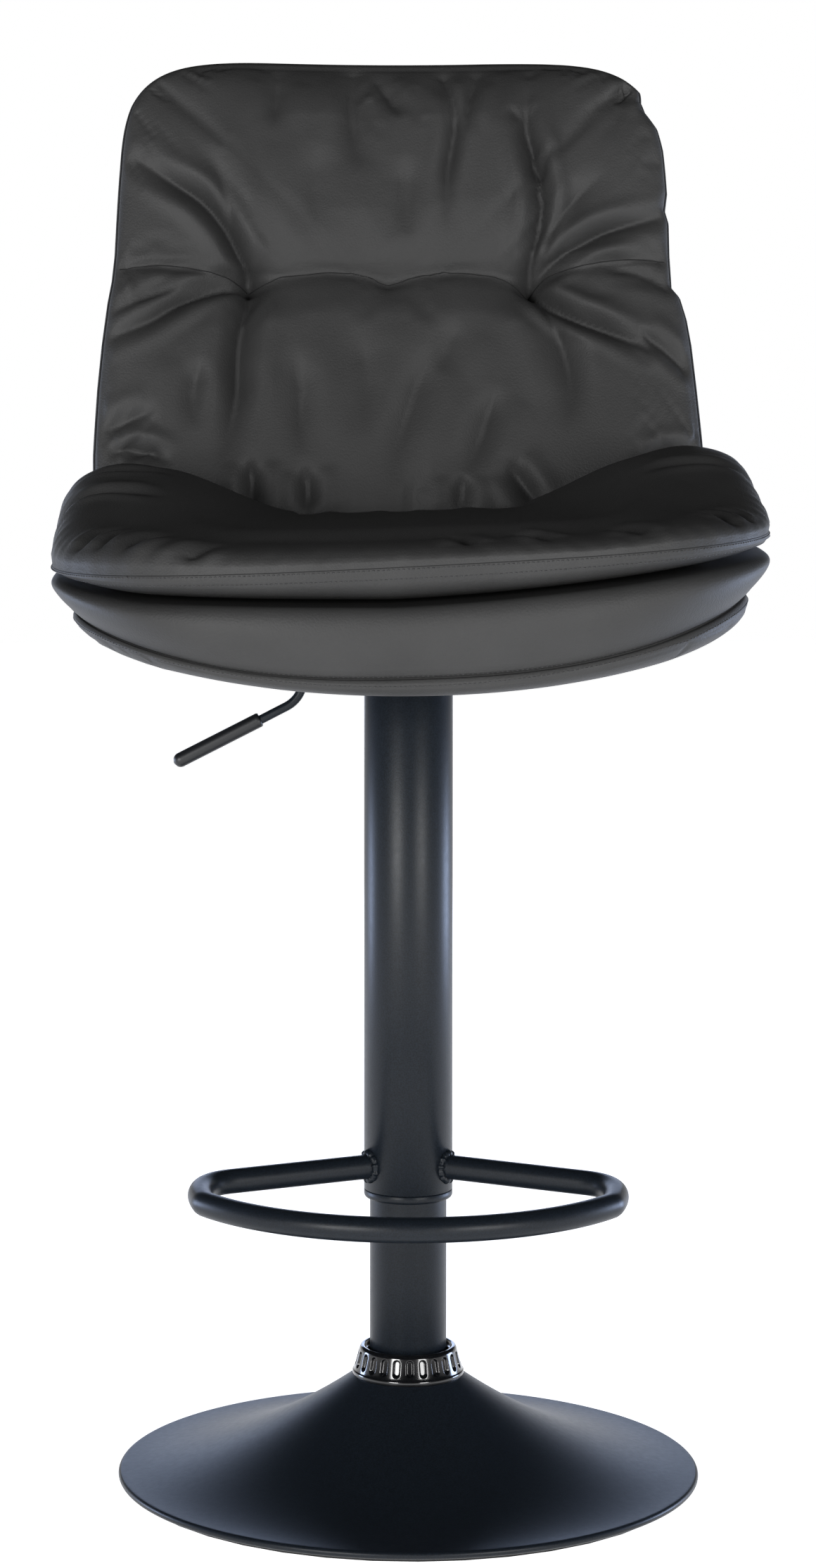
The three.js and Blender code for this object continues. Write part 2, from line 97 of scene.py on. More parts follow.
room = bpy.data.worlds.new("studio")
bpy.context.scene.world = room
room.use_nodes = True
sky = room.node_tree
sky.nodes.clear()
direction = add_node(sky, "ShaderNodeTexCoord")
split = add_node(sky, "ShaderNodeSeparateXYZ", links={"Vector": direction.outputs["Generated"]})
walls = add_node(sky, "ShaderNodeValToRGB", links={"Fac": split.outputs["Z"]})
walls.color_ramp.elements[0].position = 0.06
walls.color_ramp.elements[0].color = (1, 1, 1, 1)
walls.color_ramp.elements[1].position = 0.28
walls.color_ramp.elements[1].color = (0.02, 0.02, 0.02, 1)
glow = add_node(sky, "ShaderNodeBackground", {"Strength": 1.0}, {"Color": walls.outputs["Color"]})
add_node(sky, "ShaderNodeOutputWorld", links={"Surface": glow.outputs["Background"]})
softbox("front_left_softbox", (-1.7, -2.8, 0.95), (0, 0, 0.75), (1.0, 1.0), 60)
softbox("front_right_softbox", (1.7, -2.8, 0.95), (0, 0, 0.75), (1.0, 1.0), 46)
softbox("rear_softbox", (0, 2.6, 0.72), (0, 0, 0.1), (1.8, 0.5), 9, "c4d8ff")
softbox("left_strip", (-2.0, 0.9, 0.3), (0, 0, 0.25), (0.5, 0.6), 18, "c4d8ff")
softbox("right_strip", (2.0, 0.8, 0.3), (0, 0, 0.25), (0.7, 0.6), 24, "c4d8ff")
bpy.context.scene.view_settings.view_transform = "Standard"


def build_mesh(name, points, quads, smooth=True):
    """A mesh object at the origin from an array of points and an array of four-cornered faces."""
    points = np.asarray(points, float).reshape(-1, 3)
    quads = np.asarray(quads, int).reshape(-1, 4)
    data = bpy.data.meshes.new(name)
    data.vertices.add(len(points))
    data.vertices.foreach_set("co", points.ravel())
    data.loops.add(quads.size)
    data.loops.foreach_set("vertex_index", quads.ravel())
    data.polygons.add(len(quads))
    data.polygons.foreach_set("loop_start", np.arange(0, quads.size, 4))
    data.polygons.foreach_set("use_smooth", np.full(len(quads), smooth))
    data.update()
    data.validate()
    piece = bpy.data.objects.new(name, data)
    bpy.context.collection.objects.link(piece)
    return piece


def finish_piece(piece, body, material, slot, *nodes):
    """Gives a piece its material and the body it rides on, and hides the CAD nodes it stands for; slot is not
    used.
    """
    piece.data.materials.clear()
    piece.data.materials.append(material)
    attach(piece, body)
    if nodes:
        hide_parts(*nodes)


def tube_quads(rows, columns, close_rows=False):
    """Faces of a grid of rows by columns whose columns wrap round, and its rows too if asked."""
    row = np.arange(rows if close_rows else rows - 1)[:, None]
    column = np.arange(columns)[None, :]
    ahead = (row + 1) % rows
    beside = (column + 1) % columns
    corners = [row * columns + column, row * columns + beside, ahead * columns + beside, ahead * columns + column]
    return np.stack(np.broadcast_arrays(*corners), -1).reshape(-1, 4)


half_floor = 6
floor = build_mesh("studio_floor", [(-half_floor, -half_floor, 0), (half_floor, -half_floor, 0),
                                    (half_floor, half_floor, 0), (-half_floor, half_floor, 0)], [[0, 1, 2, 3]])
paper = bpy.data.materials.new("white_backdrop_paper")
paper.use_nodes = True
paper_shader = paper.node_tree.nodes["Principled BSDF"]
paper_shader.inputs["Base Color"].default_value = linear("fbfbfb")
paper_shader.inputs["Roughness"].default_value = 0.9
paper_shader.inputs["Emission Color"].default_value = linear("ffffff")
paper_shader.inputs["Emission Strength"].default_value = 0.94
floor.data.materials.append(paper)

# Powder-coated steel. Dry polyester powder is sprayed on and baked, which leaves a satin black
# skin with a slight orange peel and a fine grit, blue-grey where it catches the light.


def new_material(name, colour, roughness, **sockets):
    """A material with a Principled shader set from typical values. Returns it, its tree and shader."""
    material = bpy.data.materials.new(name)
    material.use_nodes = True
    tree = material.node_tree
    shader = tree.nodes["Principled BSDF"]
    shader.inputs["Base Color"].default_value = linear(colour)
    shader.inputs["Roughness"].default_value = roughness
    for key, value in sockets.items():
        shader.inputs[key.replace("_", " ")].default_value = value
    return material, tree, shader


def noise_field(tree, size_mm, detail=2, roughness=0.5, stretch=(1, 1, 1)):
    """Noise whose lumps are about size_mm across, on object coordinates in metres."""
    place = add_node(tree, "ShaderNodeTexCoord")
    scaled = add_node(tree, "ShaderNodeMapping", {"Scale": stretch}, {"Vector": place.outputs["Object"]})
    settings = {"Scale": 1 / (size_mm * mm * 2), "Detail": detail, "Roughness": roughness}
    return add_node(tree, "ShaderNodeTexNoise", settings, {"Vector": scaled.outputs["Vector"]})


def two_tones(tree, field, low, high, start=0.35, end=0.65):
    """A colour ramp from low to high over the middle of a field."""
    ramp = add_node(tree, "ShaderNodeValToRGB", links={"Fac": field})
    ramp.color_ramp.elements[0].position = start
    ramp.color_ramp.elements[0].color = linear(low)
    ramp.color_ramp.elements[1].position = end
    ramp.color_ramp.elements[1].color = linear(high)
    return ramp.outputs["Color"]


def remap(tree, field, low, high):
    """A field from 0 to 1 as a number from low to high."""
    node = add_node(tree, "ShaderNodeMapRange", {"To Min": low, "To Max": high}, {"Value": field})
    return node.outputs["Result"]


def bump(tree, shader, *layers):
    """Stacks bump layers of (height field, depth in mm, strength) on a shader's normal."""
    normal = None
    for field, depth_mm, strength in layers:
        links = {"Height": field}
        if normal:
            links["Normal"] = normal
        node = add_node(tree, "ShaderNodeBump", {"Strength": strength, "Distance": depth_mm * mm}, links)
        normal = node.outputs["Normal"]
    tree.links.new(normal, shader.inputs["Normal"])


def powder_coat():
    """Orange peel 2.2 mm across under a grit of 0.5 mm."""
    material, tree, shader = new_material("black_powder_coated_steel", "12171d", 0.38, IOR=1.32)
    peel = noise_field(tree, 2.2, 1)
    grit = noise_field(tree, 0.5, 2)
    tone = two_tones(tree, grit.outputs["Fac"], "0f1318", "171d24")
    tree.links.new(tone, shader.inputs["Base Color"])
    tree.links.new(remap(tree, peel.outputs["Fac"], 0.34, 0.42), shader.inputs["Roughness"])
    bump(tree, shader, (grit.outputs["Fac"], 0.10, 0.35), (peel.outputs["Fac"], 0.06, 0.2))
    return material


coated_steel = powder_coat()

# Floor pad, bottom plate, cast weight and the bolted flange, all under the base. The pad is a
# ribbed rubber disc, the plate and flange are zinc plated, and the weight is as it left the sand.


def floor_rubber():
    """Matt, with a fine moulded grain."""
    material, tree, shader = new_material("moulded_black_rubber", "121314", 0.75)
    grain = noise_field(tree, 0.8, 3)
    bump(tree, shader, (grain.outputs["Fac"], 0.12, 0.4))
    return material


def zinc_plate():
    """Bright, with the cloudy haze of a passivated coat."""
    material, tree, shader = new_material("zinc_plated_steel", "b4b7ba", 0.32, Metallic=1.0)
    haze = noise_field(tree, 6, 3)
    fine = noise_field(tree, 0.4, 1)
    tree.links.new(two_tones(tree, haze.outputs["Fac"], "a2a6aa", "c2c4c4"), shader.inputs["Base Color"])
    tree.links.new(remap(tree, haze.outputs["Fac"], 0.25, 0.42), shader.inputs["Roughness"])
    bump(tree, shader, (fine.outputs["Fac"], 0.02, 0.3))
    return material


def sand_cast_iron():
    """Rough and dark: the surface copies the grains of the mould."""
    material, tree, shader = new_material("sand_cast_iron", "37383a", 0.7, Metallic=0.6)
    sand = noise_field(tree, 1.6, 5, 0.65)
    tree.links.new(two_tones(tree, sand.outputs["Fac"], "2a2b2d", "4a4a4b"), shader.inputs["Base Color"])
    bump(tree, shader, (sand.outputs["Fac"], 0.5, 0.8))
    return material


def natural_nylon():
    """Undyed and slightly cloudy."""
    material, tree, shader = new_material("moulded_nylon", "d6d2c6", 0.4)
    cloud = noise_field(tree, 5, 2)
    tree.links.new(two_tones(tree, cloud.outputs["Fac"], "cdc9bc", "dedacf"), shader.inputs["Base Color"])
    return material


rubber = floor_rubber()
plated_steel = zinc_plate()
cast_iron = sand_cast_iron()
nylon = natural_nylon()


def dress(names, material):
    """Gives CAD nodes that stay in view a finished material."""
    for name in names:
        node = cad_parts[name]
        if not node.material_slots:
            node.data.materials.append(material)
        for each in node.material_slots:
            each.material = material


dress(["floor_pad", "bump_stop"], rubber)
dress(["base_weight"], cast_iron)
dress(["guide_bush", "gas_piston"], nylon)
dress(["bottom_plate", "tube_flange", "bearing_seat", "piston_rod", "rod_clip", "thrust_bearing", "gas_cylinder",
       "cone_socket", "tube_top_ring", "lever_bracket", "valve_pin"], plated_steel)
dress([f"{place}_bolt_{i}" for place in ("base", "seat") for i in (1, 2, 3, 4)], plated_steel)
dress([f"stay_bolt_{side}_{i}" for side in ("left", "right") for i in (1, 2)], plated_steel)
dress(["seat_plate", "back_stay_left", "back_stay_right"], coated_steel)

# Base shell. One sheet of steel spun over a horn-shaped former: steep at the neck, flattening
# outwards, and rolled under at the rim so that no raw edge shows above the floor pad.
base_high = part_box("base_shell")[1]
rim_r, neck_z = base_high.x, base_high.z
neck_r = 36 * mm
rim_z = 8 * mm
horn_power = 1.8


def horn_height(r):
    """Height of the horn at radius r: the share of the way in from the rim, raised to a power."""
    return rim_z + (neck_z - rim_z) * np.clip((rim_r - r) / (rim_r - neck_r), 0, 1) ** horn_power


def revolve(name, profile, around=192):
    """A closed ring: an outline of (radius, height) points carried round the Z axis."""
    profile = np.asarray(profile, float)
    angle = np.linspace(0, 2 * np.pi, around, endpoint=False)
    r, z = profile[:, 0][:, None], profile[:, 1][:, None]
    points = np.stack([r * np.cos(angle), r * np.sin(angle), np.broadcast_to(z, (len(profile), around))], -1)
    return build_mesh(name, points, tube_quads(len(profile), around, close_rows=True))


def arc_points(centre, radius, start, end, count):
    """Points on an arc in the (radius, height) plane, from one angle in degrees to another."""
    angle = np.radians(np.linspace(start, end, count))
    return np.stack([centre[0] + radius * np.cos(angle), centre[1] + radius * np.sin(angle)], -1)


def base_profile():
    """From the neck's inner edge, under the shell to the rim, round the roll and back up the top."""
    sheet, roll_r = 2.4 * mm, 2.6 * mm
    out = neck_r + (rim_r - 3.4 * mm - neck_r) * np.linspace(0, 1, 60) ** 1.3
    top = np.stack([out, horn_height(out)], -1)
    roll = arc_points((rim_r - roll_r, top[-1, 1] - roll_r), roll_r, 78, -100, 12)
    under = np.stack([out[:-4] - sheet / 2, horn_height(out[:-4]) - sheet], -1)[::-1]
    return np.concatenate([top, roll, under])


base_shell = revolve("base_shell_spun", base_profile()[::-1], 256)
finish_piece(base_shell, "base", coated_steel, "powder_coat", "base_shell")

# Collar ring. A gloss black ABS moulding that slips over the stand tube and hides the neck of
# the base. Twenty-four round-ended slots are moulded into its tapered side.
collar_low, collar_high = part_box("collar_ring")


def gloss_plastic():
    """Polished moulding; slow flow marks vary its gloss a little."""
    material, tree, shader = new_material("gloss_black_abs", "0b0c0e", 0.12, Coat_Weight=0.4, Coat_Roughness=0.05)
    flow = noise_field(tree, 7, 2)
    tree.links.new(remap(tree, flow.outputs["Fac"], 0.1, 0.2), shader.inputs["Roughness"])
    return material


def collar():
    """A turned outline. On its tapered side, points inside a slot's outline are pushed inwards: the
    dent is a steep S-curve of the distance from a stadium, an upright line with a round end."""
    around, slots, side_rows = 768, 24, 64
    deep, slot_half, slot_half_straight, edge = 2.2 * mm, 2.25 * mm, 3.1 * mm, 0.16 * mm
    low, high = neck_z + 0.3 * mm, collar_high.z
    foot_r, lip_r, bore = 39.4 * mm, 33.3 * mm, 28.4 * mm
    side_low, side_high = low + 1.8 * mm, high - 2.4 * mm
    side_z = np.linspace(side_low, side_high, side_rows)
    taper = ((side_z - side_low) / (side_high - side_low)) ** 0.85
    side_r = foot_r - 1 * mm + (lip_r + 1.2 * mm - foot_r + 1 * mm) * taper
    foot = [(bore, low), (neck_r, low), (foot_r - 0.4 * mm, collar_low.z + 0.2 * mm),
            (foot_r, collar_low.z + 0.8 * mm), (foot_r, low + 0.6 * mm),
            (foot_r - 0.3 * mm, low + 1.1 * mm), (foot_r - 0.9 * mm, low + 1.4 * mm)]
    lip = [(lip_r + 0.9 * mm, high - 1.6 * mm), (lip_r + 0.1 * mm, high - 0.5 * mm), (lip_r - 0.7 * mm, high),
           (lip_r - 2.2 * mm, high), (lip_r - 2.6 * mm, high - 0.4 * mm), (lip_r - 2.8 * mm, high - 2.2 * mm),
           (bore + 0.6 * mm, high - 2.6 * mm), (bore, high - 3.2 * mm)]
    outline = np.concatenate([foot, np.stack([side_r, side_z], -1), lip])
    angle = np.linspace(0, 2 * np.pi, around, endpoint=False)
    r, z = np.meshgrid(outline[:, 0], angle, indexing="ij")[0], outline[:, 1][:, None]
    pitch = 2 * np.pi / slots
    across = ((angle + pitch / 2) % pitch - pitch / 2)[None, :] * r
    tall = np.abs(z - (side_low + side_high) / 2 - 0.4 * mm) - slot_half_straight
    reach = np.hypot(across, np.maximum(tall, 0)) - slot_half
    dent = deep / (1 + np.exp(reach / edge))
    dent[: len(foot)] = 0
    dent[len(foot) + side_rows :] = 0
    r = r - dent
    points = np.stack([r * np.cos(angle), r * np.sin(angle), np.broadcast_to(z, r.shape)], -1)
    return build_mesh("collar_ring_moulded", points, tube_quads(len(outline), around, close_rows=True))


finish_piece(collar(), "base", gloss_plastic(), "gloss_plastic", "collar_ring")

# Column. The stand tube is fixed in the base. The cover tube slides and turns over it, and its
# lower end is rolled in over a bush so that only a thin dark gap shows.
stand_low, stand_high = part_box("stand_tube")
cover_low, cover_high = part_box("cover_tube")
lip_low, lip_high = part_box("tube_lip")
stand_r, cover_r = stand_high.x, cover_high.x


def pipe_profile(outer, wall, low, high):
    """Outline of a plain tube with slightly broken edges."""
    edge = 0.5 * mm
    return [(outer - wall, low), (outer - edge, low), (outer, low + edge), (outer, high - edge),
            (outer - edge, high), (outer - wall, high)]


def lip_profile():
    """Outline of the rolled end: a short side, a quarter round and a flat that turns up inside."""
    bend_r = 2.6 * mm
    bend = arc_points((cover_r - bend_r, lip_low.z + 2.8 * mm), bend_r, 0, -90, 9)
    inner = stand_r + 0.5 * mm
    return [(inner, lip_high.z), (inner, lip_low.z + 0.4 * mm), (inner + 0.4 * mm, lip_low.z + 0.2 * mm),
            *bend[::-1], (cover_r, cover_low.z - 0.5 * mm), (cover_r - 0.4 * mm, cover_low.z - 0.1 * mm),
            (cover_r - 2.1 * mm, cover_low.z - 0.1 * mm), (cover_r - 2.1 * mm, lip_high.z)]


stand_wall, cover_wall, tube_sides = 2 * mm, 1.7 * mm, 128
stand_tube = revolve("stand_tube_drawn", pipe_profile(stand_r, stand_wall, stand_low.z, stand_high.z), tube_sides)
cover_tube = revolve("cover_tube_drawn", pipe_profile(cover_r, cover_wall, cover_low.z, cover_high.z), tube_sides)
tube_lip = revolve("tube_lip_rolled", lip_profile(), tube_sides)
finish_piece(stand_tube, "base", coated_steel, "powder_coat", "stand_tube")
finish_piece(cover_tube, "seat", coated_steel, "powder_coat", "cover_tube")
finish_piece(tube_lip, "seat", coated_steel, "powder_coat", "tube_lip")

# Footrest. One length of 17 mm tube bent to a loop: two straight legs from the column, a round
# corner at each side and a wide arc in front. Its ends are fishmouthed and welded to the cover tube.
foot_low, foot_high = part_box("footrest")
foot_z = (foot_low.z + foot_high.z) / 2
bar_r = (foot_high.z - foot_low.z) / 2
foot_turn = -0.035
leg_start = np.array([26, -13.6]) * mm
leg_end = np.array([124, -64]) * mm
corner = np.array([151, -79]) * mm
arc_centre_y, arc_r, arc_start = -42 * mm, 165 * mm, -0.58


def smooth_path(points, spacing):
    """Points evenly spaced along a polyline."""
    points = np.asarray(points, float)
    run = np.concatenate([[0], np.cumsum(np.linalg.norm(np.diff(points, axis=0), axis=1))])
    at = np.linspace(0, run[-1], max(int(run[-1] / spacing), 2) + 1)
    return np.stack([np.interp(at, run, points[:, i]) for i in range(3)], -1)


def quadratic(a, b, c, count):
    """Points on the curve that leaves a towards b and reaches c from b."""
    t = np.linspace(0, 1, count)[:, None]
    return (1 - t) ** 2 * np.array(a) + 2 * t * (1 - t) * np.array(b) + t**2 * np.array(c)


def turn(points, angle):
    """Points turned about the Z axis."""
    c, s = np.cos(angle), np.sin(angle)
    return np.asarray(points) @ np.array([[c, s, 0], [-s, c, 0], [0, 0, 1]])


def foot_path():
    """Leg, corner, front arc, corner and leg, level and turned as the loop is welded."""
    angle = np.linspace(arc_start, -np.pi - arc_start, 90)
    arc = np.stack([arc_r * np.cos(angle), arc_centre_y + arc_r * np.sin(angle)], -1)
    leg = np.array([leg_start, leg_end])
    bend = quadratic(leg_end, corner, arc[0], 24)
    right = np.concatenate([leg[:1] + (leg[1:] - leg[:1]) * np.linspace(0, 1, 30)[:-1, None], bend[:-1]])
    flat = np.concatenate([right, arc, (right * [-1, 1])[::-1]])
    return turn(np.column_stack([flat, np.full(len(flat), foot_z)]), foot_turn)


def sweep(name, path, radius, around=24, caps=True):
    """A round bar: a circle of the given radius carried along a path. Ends close to a point."""
    path = np.asarray(path, float)
    ahead = np.gradient(path, axis=0)
    ahead /= np.linalg.norm(ahead, axis=1)[:, None]
    side = np.cross(ahead, [0.013, 0.02, 1.0])
    side /= np.linalg.norm(side, axis=1)[:, None]
    up = np.cross(side, ahead)
    radius = np.broadcast_to(radius, len(path)).copy()
    if caps:
        path = np.concatenate([path[:1], path, path[-1:]])
        side, up = (np.concatenate([v[:1], v, v[-1:]]) for v in (side, up))
        radius = np.concatenate([[1e-5], radius, [1e-5]])
    angle = np.linspace(0, 2 * np.pi, around, endpoint=False)
    ring = side[:, None] * np.cos(angle)[None, :, None] + up[:, None] * np.sin(angle)[None, :, None]
    points = path[:, None] + ring * radius[:, None, None]
    return build_mesh(name, points, tube_quads(len(path), around))


footrest = sweep("footrest_bent_tube", smooth_path(foot_path(), 3 * mm), bar_r, 36)
finish_piece(footrest, "seat", coated_steel, "powder_coat", "footrest")


def weld(name, side):
    """A lumpy bead that follows the line where a leg's round side meets the round cover tube: each
    line along the leg is followed until its distance from the Z axis is the tube's radius."""
    around, section = 96, 14
    angle = np.linspace(0, 2 * np.pi, around, endpoint=False)
    leg = turn([[side * (leg_end[0] - leg_start[0]), leg_end[1] - leg_start[1], 0]], foot_turn)[0]
    leg = leg / np.linalg.norm(leg)
    across = np.cross([0, 0, 1], leg)
    start = turn([[side * leg_start[0], leg_start[1], foot_z]], foot_turn)[0]
    away = np.cos(angle)[:, None] * across + np.sin(angle)[:, None] * np.array([0, 0, 1])
    ring = start + bar_r * away
    slide = ring[:, :2] @ leg[:2]
    push = -slide + np.sqrt(np.maximum(slide**2 - (ring[:, :2] ** 2).sum(1) + cover_r**2, 0))
    line = ring + push[:, None] * leg
    lump = 1 + 0.16 * np.sin(angle * 13 + side) + 0.1 * np.sin(angle * 23 + 2)
    thick = 2.5 * mm * lump
    turnround = np.linspace(0, 2 * np.pi, section, endpoint=False)
    body = line + away * 0.6 * mm + leg * 0.5 * mm
    points = body[:, None] + thick[:, None, None] * (
        away[:, None] * np.cos(turnround)[None, :, None] + leg * np.sin(turnround)[None, :, None])
    return build_mesh(name, points, tube_quads(around, section, close_rows=True))


for side, name in ((1, "right"), (-1, "left")):
    bead = weld(f"weld_bead_{name}_laid", side)
    finish_piece(bead, "seat", coated_steel, "powder_coat", f"weld_bead_{name}")

# Lever. A bent wire that rocks on a cross pin under the seat, with its inner end over the gas
# valve, and a moulded sleeve pushed on as a grip.


def grip_plastic():
    """Satin, from the fine spark-eroded grain of its mould."""
    material, tree, shader = new_material("satin_black_grip_plastic", "0e1013", 0.42)
    grain = noise_field(tree, 0.7, 2)
    bump(tree, shader, (grain.outputs["Fac"], 0.05, 0.4))
    return material


def lever_path():
    """Level under the seat, down through a tight bend, then straight out at a slope to the grip.
    Points are (x, z) in mm."""
    level = 575.2
    points = [[(8, level), (-60, level)],
              quadratic((-60, level), (-69, level), (-73, 565), 10),
              quadratic((-73, 565), (-75, 560), (-77, 556), 4),
              quadratic((-77, 556), (-80.5, 549.8), (-88, 546.4), 10),
              [(-113, 533.5)]]
    flat = np.concatenate(points) * mm
    return smooth_path(np.column_stack([flat[:, 0], np.zeros(len(flat)), flat[:, 1]]), 1.5 * mm)


def grip_path():
    """A straight line from the sleeve's mouth to its tip."""
    start, end = np.array([-104.4, 0, 538.4]) * mm, np.array([-165, 0, 507.6]) * mm
    return start + (end - start) * np.linspace(0, 1, 60)[:, None]


def grip_radius():
    """A straight sleeve with a broken edge at its mouth and a round end."""
    along = np.linspace(0, 1, 60)
    length, grip_r = 68 * mm, 5.2 * mm
    mouth = np.clip(along * length / (0.8 * mm), 0, 1) ** 0.5
    tip = np.clip((1 - along) * length / grip_r, 0, 1)
    return grip_r * (0.9 + 0.1 * mouth) * np.sqrt(1 - (1 - tip) ** 2 * 0.98)


lever_rod = sweep("lever_wire", lever_path(), 3.2 * mm, 20)
lever_grip = sweep("lever_sleeve", grip_path(), grip_radius(), 32)
finish_piece(lever_rod, "lever", coated_steel, "powder_coat", "lever_rod")
finish_piece(lever_grip, "lever", grip_plastic(), "grip_plastic", "lever_grip")

# Leatherette. Polyurethane on a knit backing, embossed with a fine pebble grain and left semi-matt.
# It stretches over the foam, so creases are soft valleys with a faint shine on their shoulders.


def leatherette():
    """Pebbles 1.5 mm across; the real 0.8 mm ones would be too fine to show."""
    material, tree, shader = new_material("embossed_black_leatherette", "353535", 0.55, IOR=1.45)
    shader.inputs["Specular IOR Level"].default_value = 0.3
    place = add_node(tree, "ShaderNodeTexCoord")
    warp = noise_field(tree, 4, 2)
    bent = add_node(tree, "ShaderNodeMixRGB", {"Fac": 0.004},
                    {"Color1": place.outputs["Object"], "Color2": warp.outputs["Color"]})
    cells = {"feature": "SMOOTH_F1", "Scale": 1 / (1.5 * mm), "Smoothness": 0.35}
    pebble = add_node(tree, "ShaderNodeTexVoronoi", cells, {"Vector": bent.outputs["Color"]})
    worn = noise_field(tree, 30, 3)
    fine = noise_field(tree, 0.6, 2)
    tone = two_tones(tree, worn.outputs["Fac"], "333333", "373737")
    tree.links.new(tone, shader.inputs["Base Color"])
    tree.links.new(remap(tree, worn.outputs["Fac"], 0.52, 0.62), shader.inputs["Roughness"])
    bump(tree, shader, (pebble.outputs["Distance"], -0.16, 1.0), (fine.outputs["Fac"], 0.03, 0.4))
    return material


leather = leatherette()

# Back cushion. Foam wrapped in leatherette and sewn to the back's edge all round. A seam crosses
# it, and two hidden ties pull the seam in, so that creases run out from them to the edges.
back_foot = np.array([0, 122, 630]) * mm
lean = 0.29
side_curl = 22 * mm
back_tall = 408 * mm


def on_back(x, depth, height):
    """Places a point of the upright back: its sides curl forward, then it leans on its foot."""
    deep = depth + side_curl * (1 - (x / (200 * mm)) ** 2)
    c, s = math.cos(lean), math.sin(lean)
    return np.stack([x, back_foot[1] + c * deep + s * height, back_foot[2] + c * height - s * deep], -1)


def disc_grid(n, power):
    """A square grid, closer near its rim, whose square rings become superellipses of one power."""
    raw = np.linspace(-1, 1, n + 1)
    even = np.sign(raw) * (1 - (1 - abs(raw)) ** 1.3)
    s, t = np.meshgrid(even, even, indexing="ij")
    ring = np.maximum(abs(s), abs(t))
    norm = (abs(s) ** power + abs(t) ** power) ** (1 / power)
    scale = ring / np.maximum(norm, 1e-9)
    return s * scale, t * scale, ring


def smoothstep(value, low, high):
    """0 below low, 1 above high, and an S-shaped rise between."""
    t = np.clip((value - low) / (high - low), 0, 1)
    return t * t * (3 - 2 * t)


def grid_quads(index):
    """Faces between the points of a grid, given their numbers."""
    return np.stack([index[:-1, :-1], index[1:, :-1], index[1:, 1:], index[:-1, 1:]], -1).reshape(-1, 4)


def join_sheets(name, face, lining):
    """Two grids that share their rim make one closed skin; the lining's faces are turned round."""
    n = len(face) - 1
    index = np.arange((n + 1) ** 2).reshape(n + 1, n + 1)
    other = index.copy()
    other[1:-1, 1:-1] = (n + 1) ** 2 + np.arange((n - 1) ** 2).reshape(n - 1, n - 1)
    points = np.concatenate([face.reshape(-1, 3), lining[1:-1, 1:-1].reshape(-1, 3)])
    return build_mesh(name, points, np.concatenate([grid_quads(index), grid_quads(other)[:, ::-1]]))


def outward(grid):
    """Unit normals at grid points: each face's crossed diagonals, summed over the faces around."""
    face = np.cross(grid[1:, 1:] - grid[:-1, :-1], grid[:-1, 1:] - grid[1:, :-1])
    normal = np.zeros(grid.shape)
    for i in (0, 1):
        for j in (0, 1):
            normal[i : len(face) + i, j : len(face) + j] += face
    return normal / np.maximum(np.linalg.norm(normal, axis=2, keepdims=True), 1e-15)


def refine(field, times):
    """Values between grid points from the cubic through the four nearest, in both directions."""
    n = len(field) - 1
    at = np.linspace(0, n, n * times + 1)
    i = np.clip(at.astype(int), 0, n - 1)
    f = at - i
    weights = np.zeros((len(at), n + 1))
    cubic = [(-1, -f / 2 + f**2 - f**3 / 2), (0, 1 - 2.5 * f**2 + 1.5 * f**3),
             (1, f / 2 + 2 * f**2 - 1.5 * f**3), (2, -(f**2) / 2 + f**3 / 2)]
    for step, weight in cubic:
        np.add.at(weights, (np.arange(len(at)), np.clip(i + step, 0, n)), weight)
    return np.einsum("ai,ijk,bj->abk", weights, field, weights)


def blow_up(grid, sewn, most):
    """Cloth run on a coarse sheet: blown from inside, held where sewn, moved no further than most.
    Returns each point's movement."""
    pressure, last = 4.0, 20
    sheet = build_mesh("cloth_run", grid, grid_quads(np.arange(grid[..., 0].size).reshape(grid.shape[:2])))
    held = sheet.vertex_groups.new(name="sewn")
    held.add([int(i) for i in np.flatnonzero(sewn)], 1.0, "REPLACE")
    cloth = sheet.modifiers.new("cloth", "CLOTH")
    cloth.settings.vertex_group_mass = "sewn"
    cloth.settings.use_pressure = True
    cloth.settings.uniform_pressure_force = pressure
    cloth.settings.effector_weights.gravity = 0
    cloth.point_cache.frame_end = last
    for frame_number in range(1, last + 1):
        bpy.context.scene.frame_set(frame_number)
    blown = sheet.evaluated_get(bpy.context.evaluated_depsgraph_get()).data
    points = np.empty(grid.size)
    blown.vertices.foreach_get("co", points)
    move = points.reshape(grid.shape) - grid
    far = np.linalg.norm(move, axis=2, keepdims=True)
    bpy.data.objects.remove(sheet)
    bpy.context.scene.frame_set(1)
    return move * np.minimum(1, most / np.maximum(far, 1e-9))


def nearest_on_line(x, y, points):
    """Distance of each place from a polyline, and how far along it the nearest point lies, 0 to 1."""
    points = np.asarray(points, float) * mm
    steps = np.linalg.norm(np.diff(points, axis=0), axis=1)
    run = np.concatenate([[0], np.cumsum(steps)]) / steps.sum()
    best, along = np.full(x.shape, 1e9), np.zeros(x.shape)
    for (ax, ay), (bx, by), start, end in zip(points[:-1], points[1:], run[:-1], run[1:]):
        t = np.clip(((x - ax) * (bx - ax) + (y - ay) * (by - ay)) / ((bx - ax) ** 2 + (by - ay) ** 2), 0, 1)
        away = np.hypot(x - ax - t * (bx - ax), y - ay - t * (by - ay))
        closer = away < best
        best = np.where(closer, away, best)
        along = np.where(closer, start + t * (end - start), along)
    return best, along


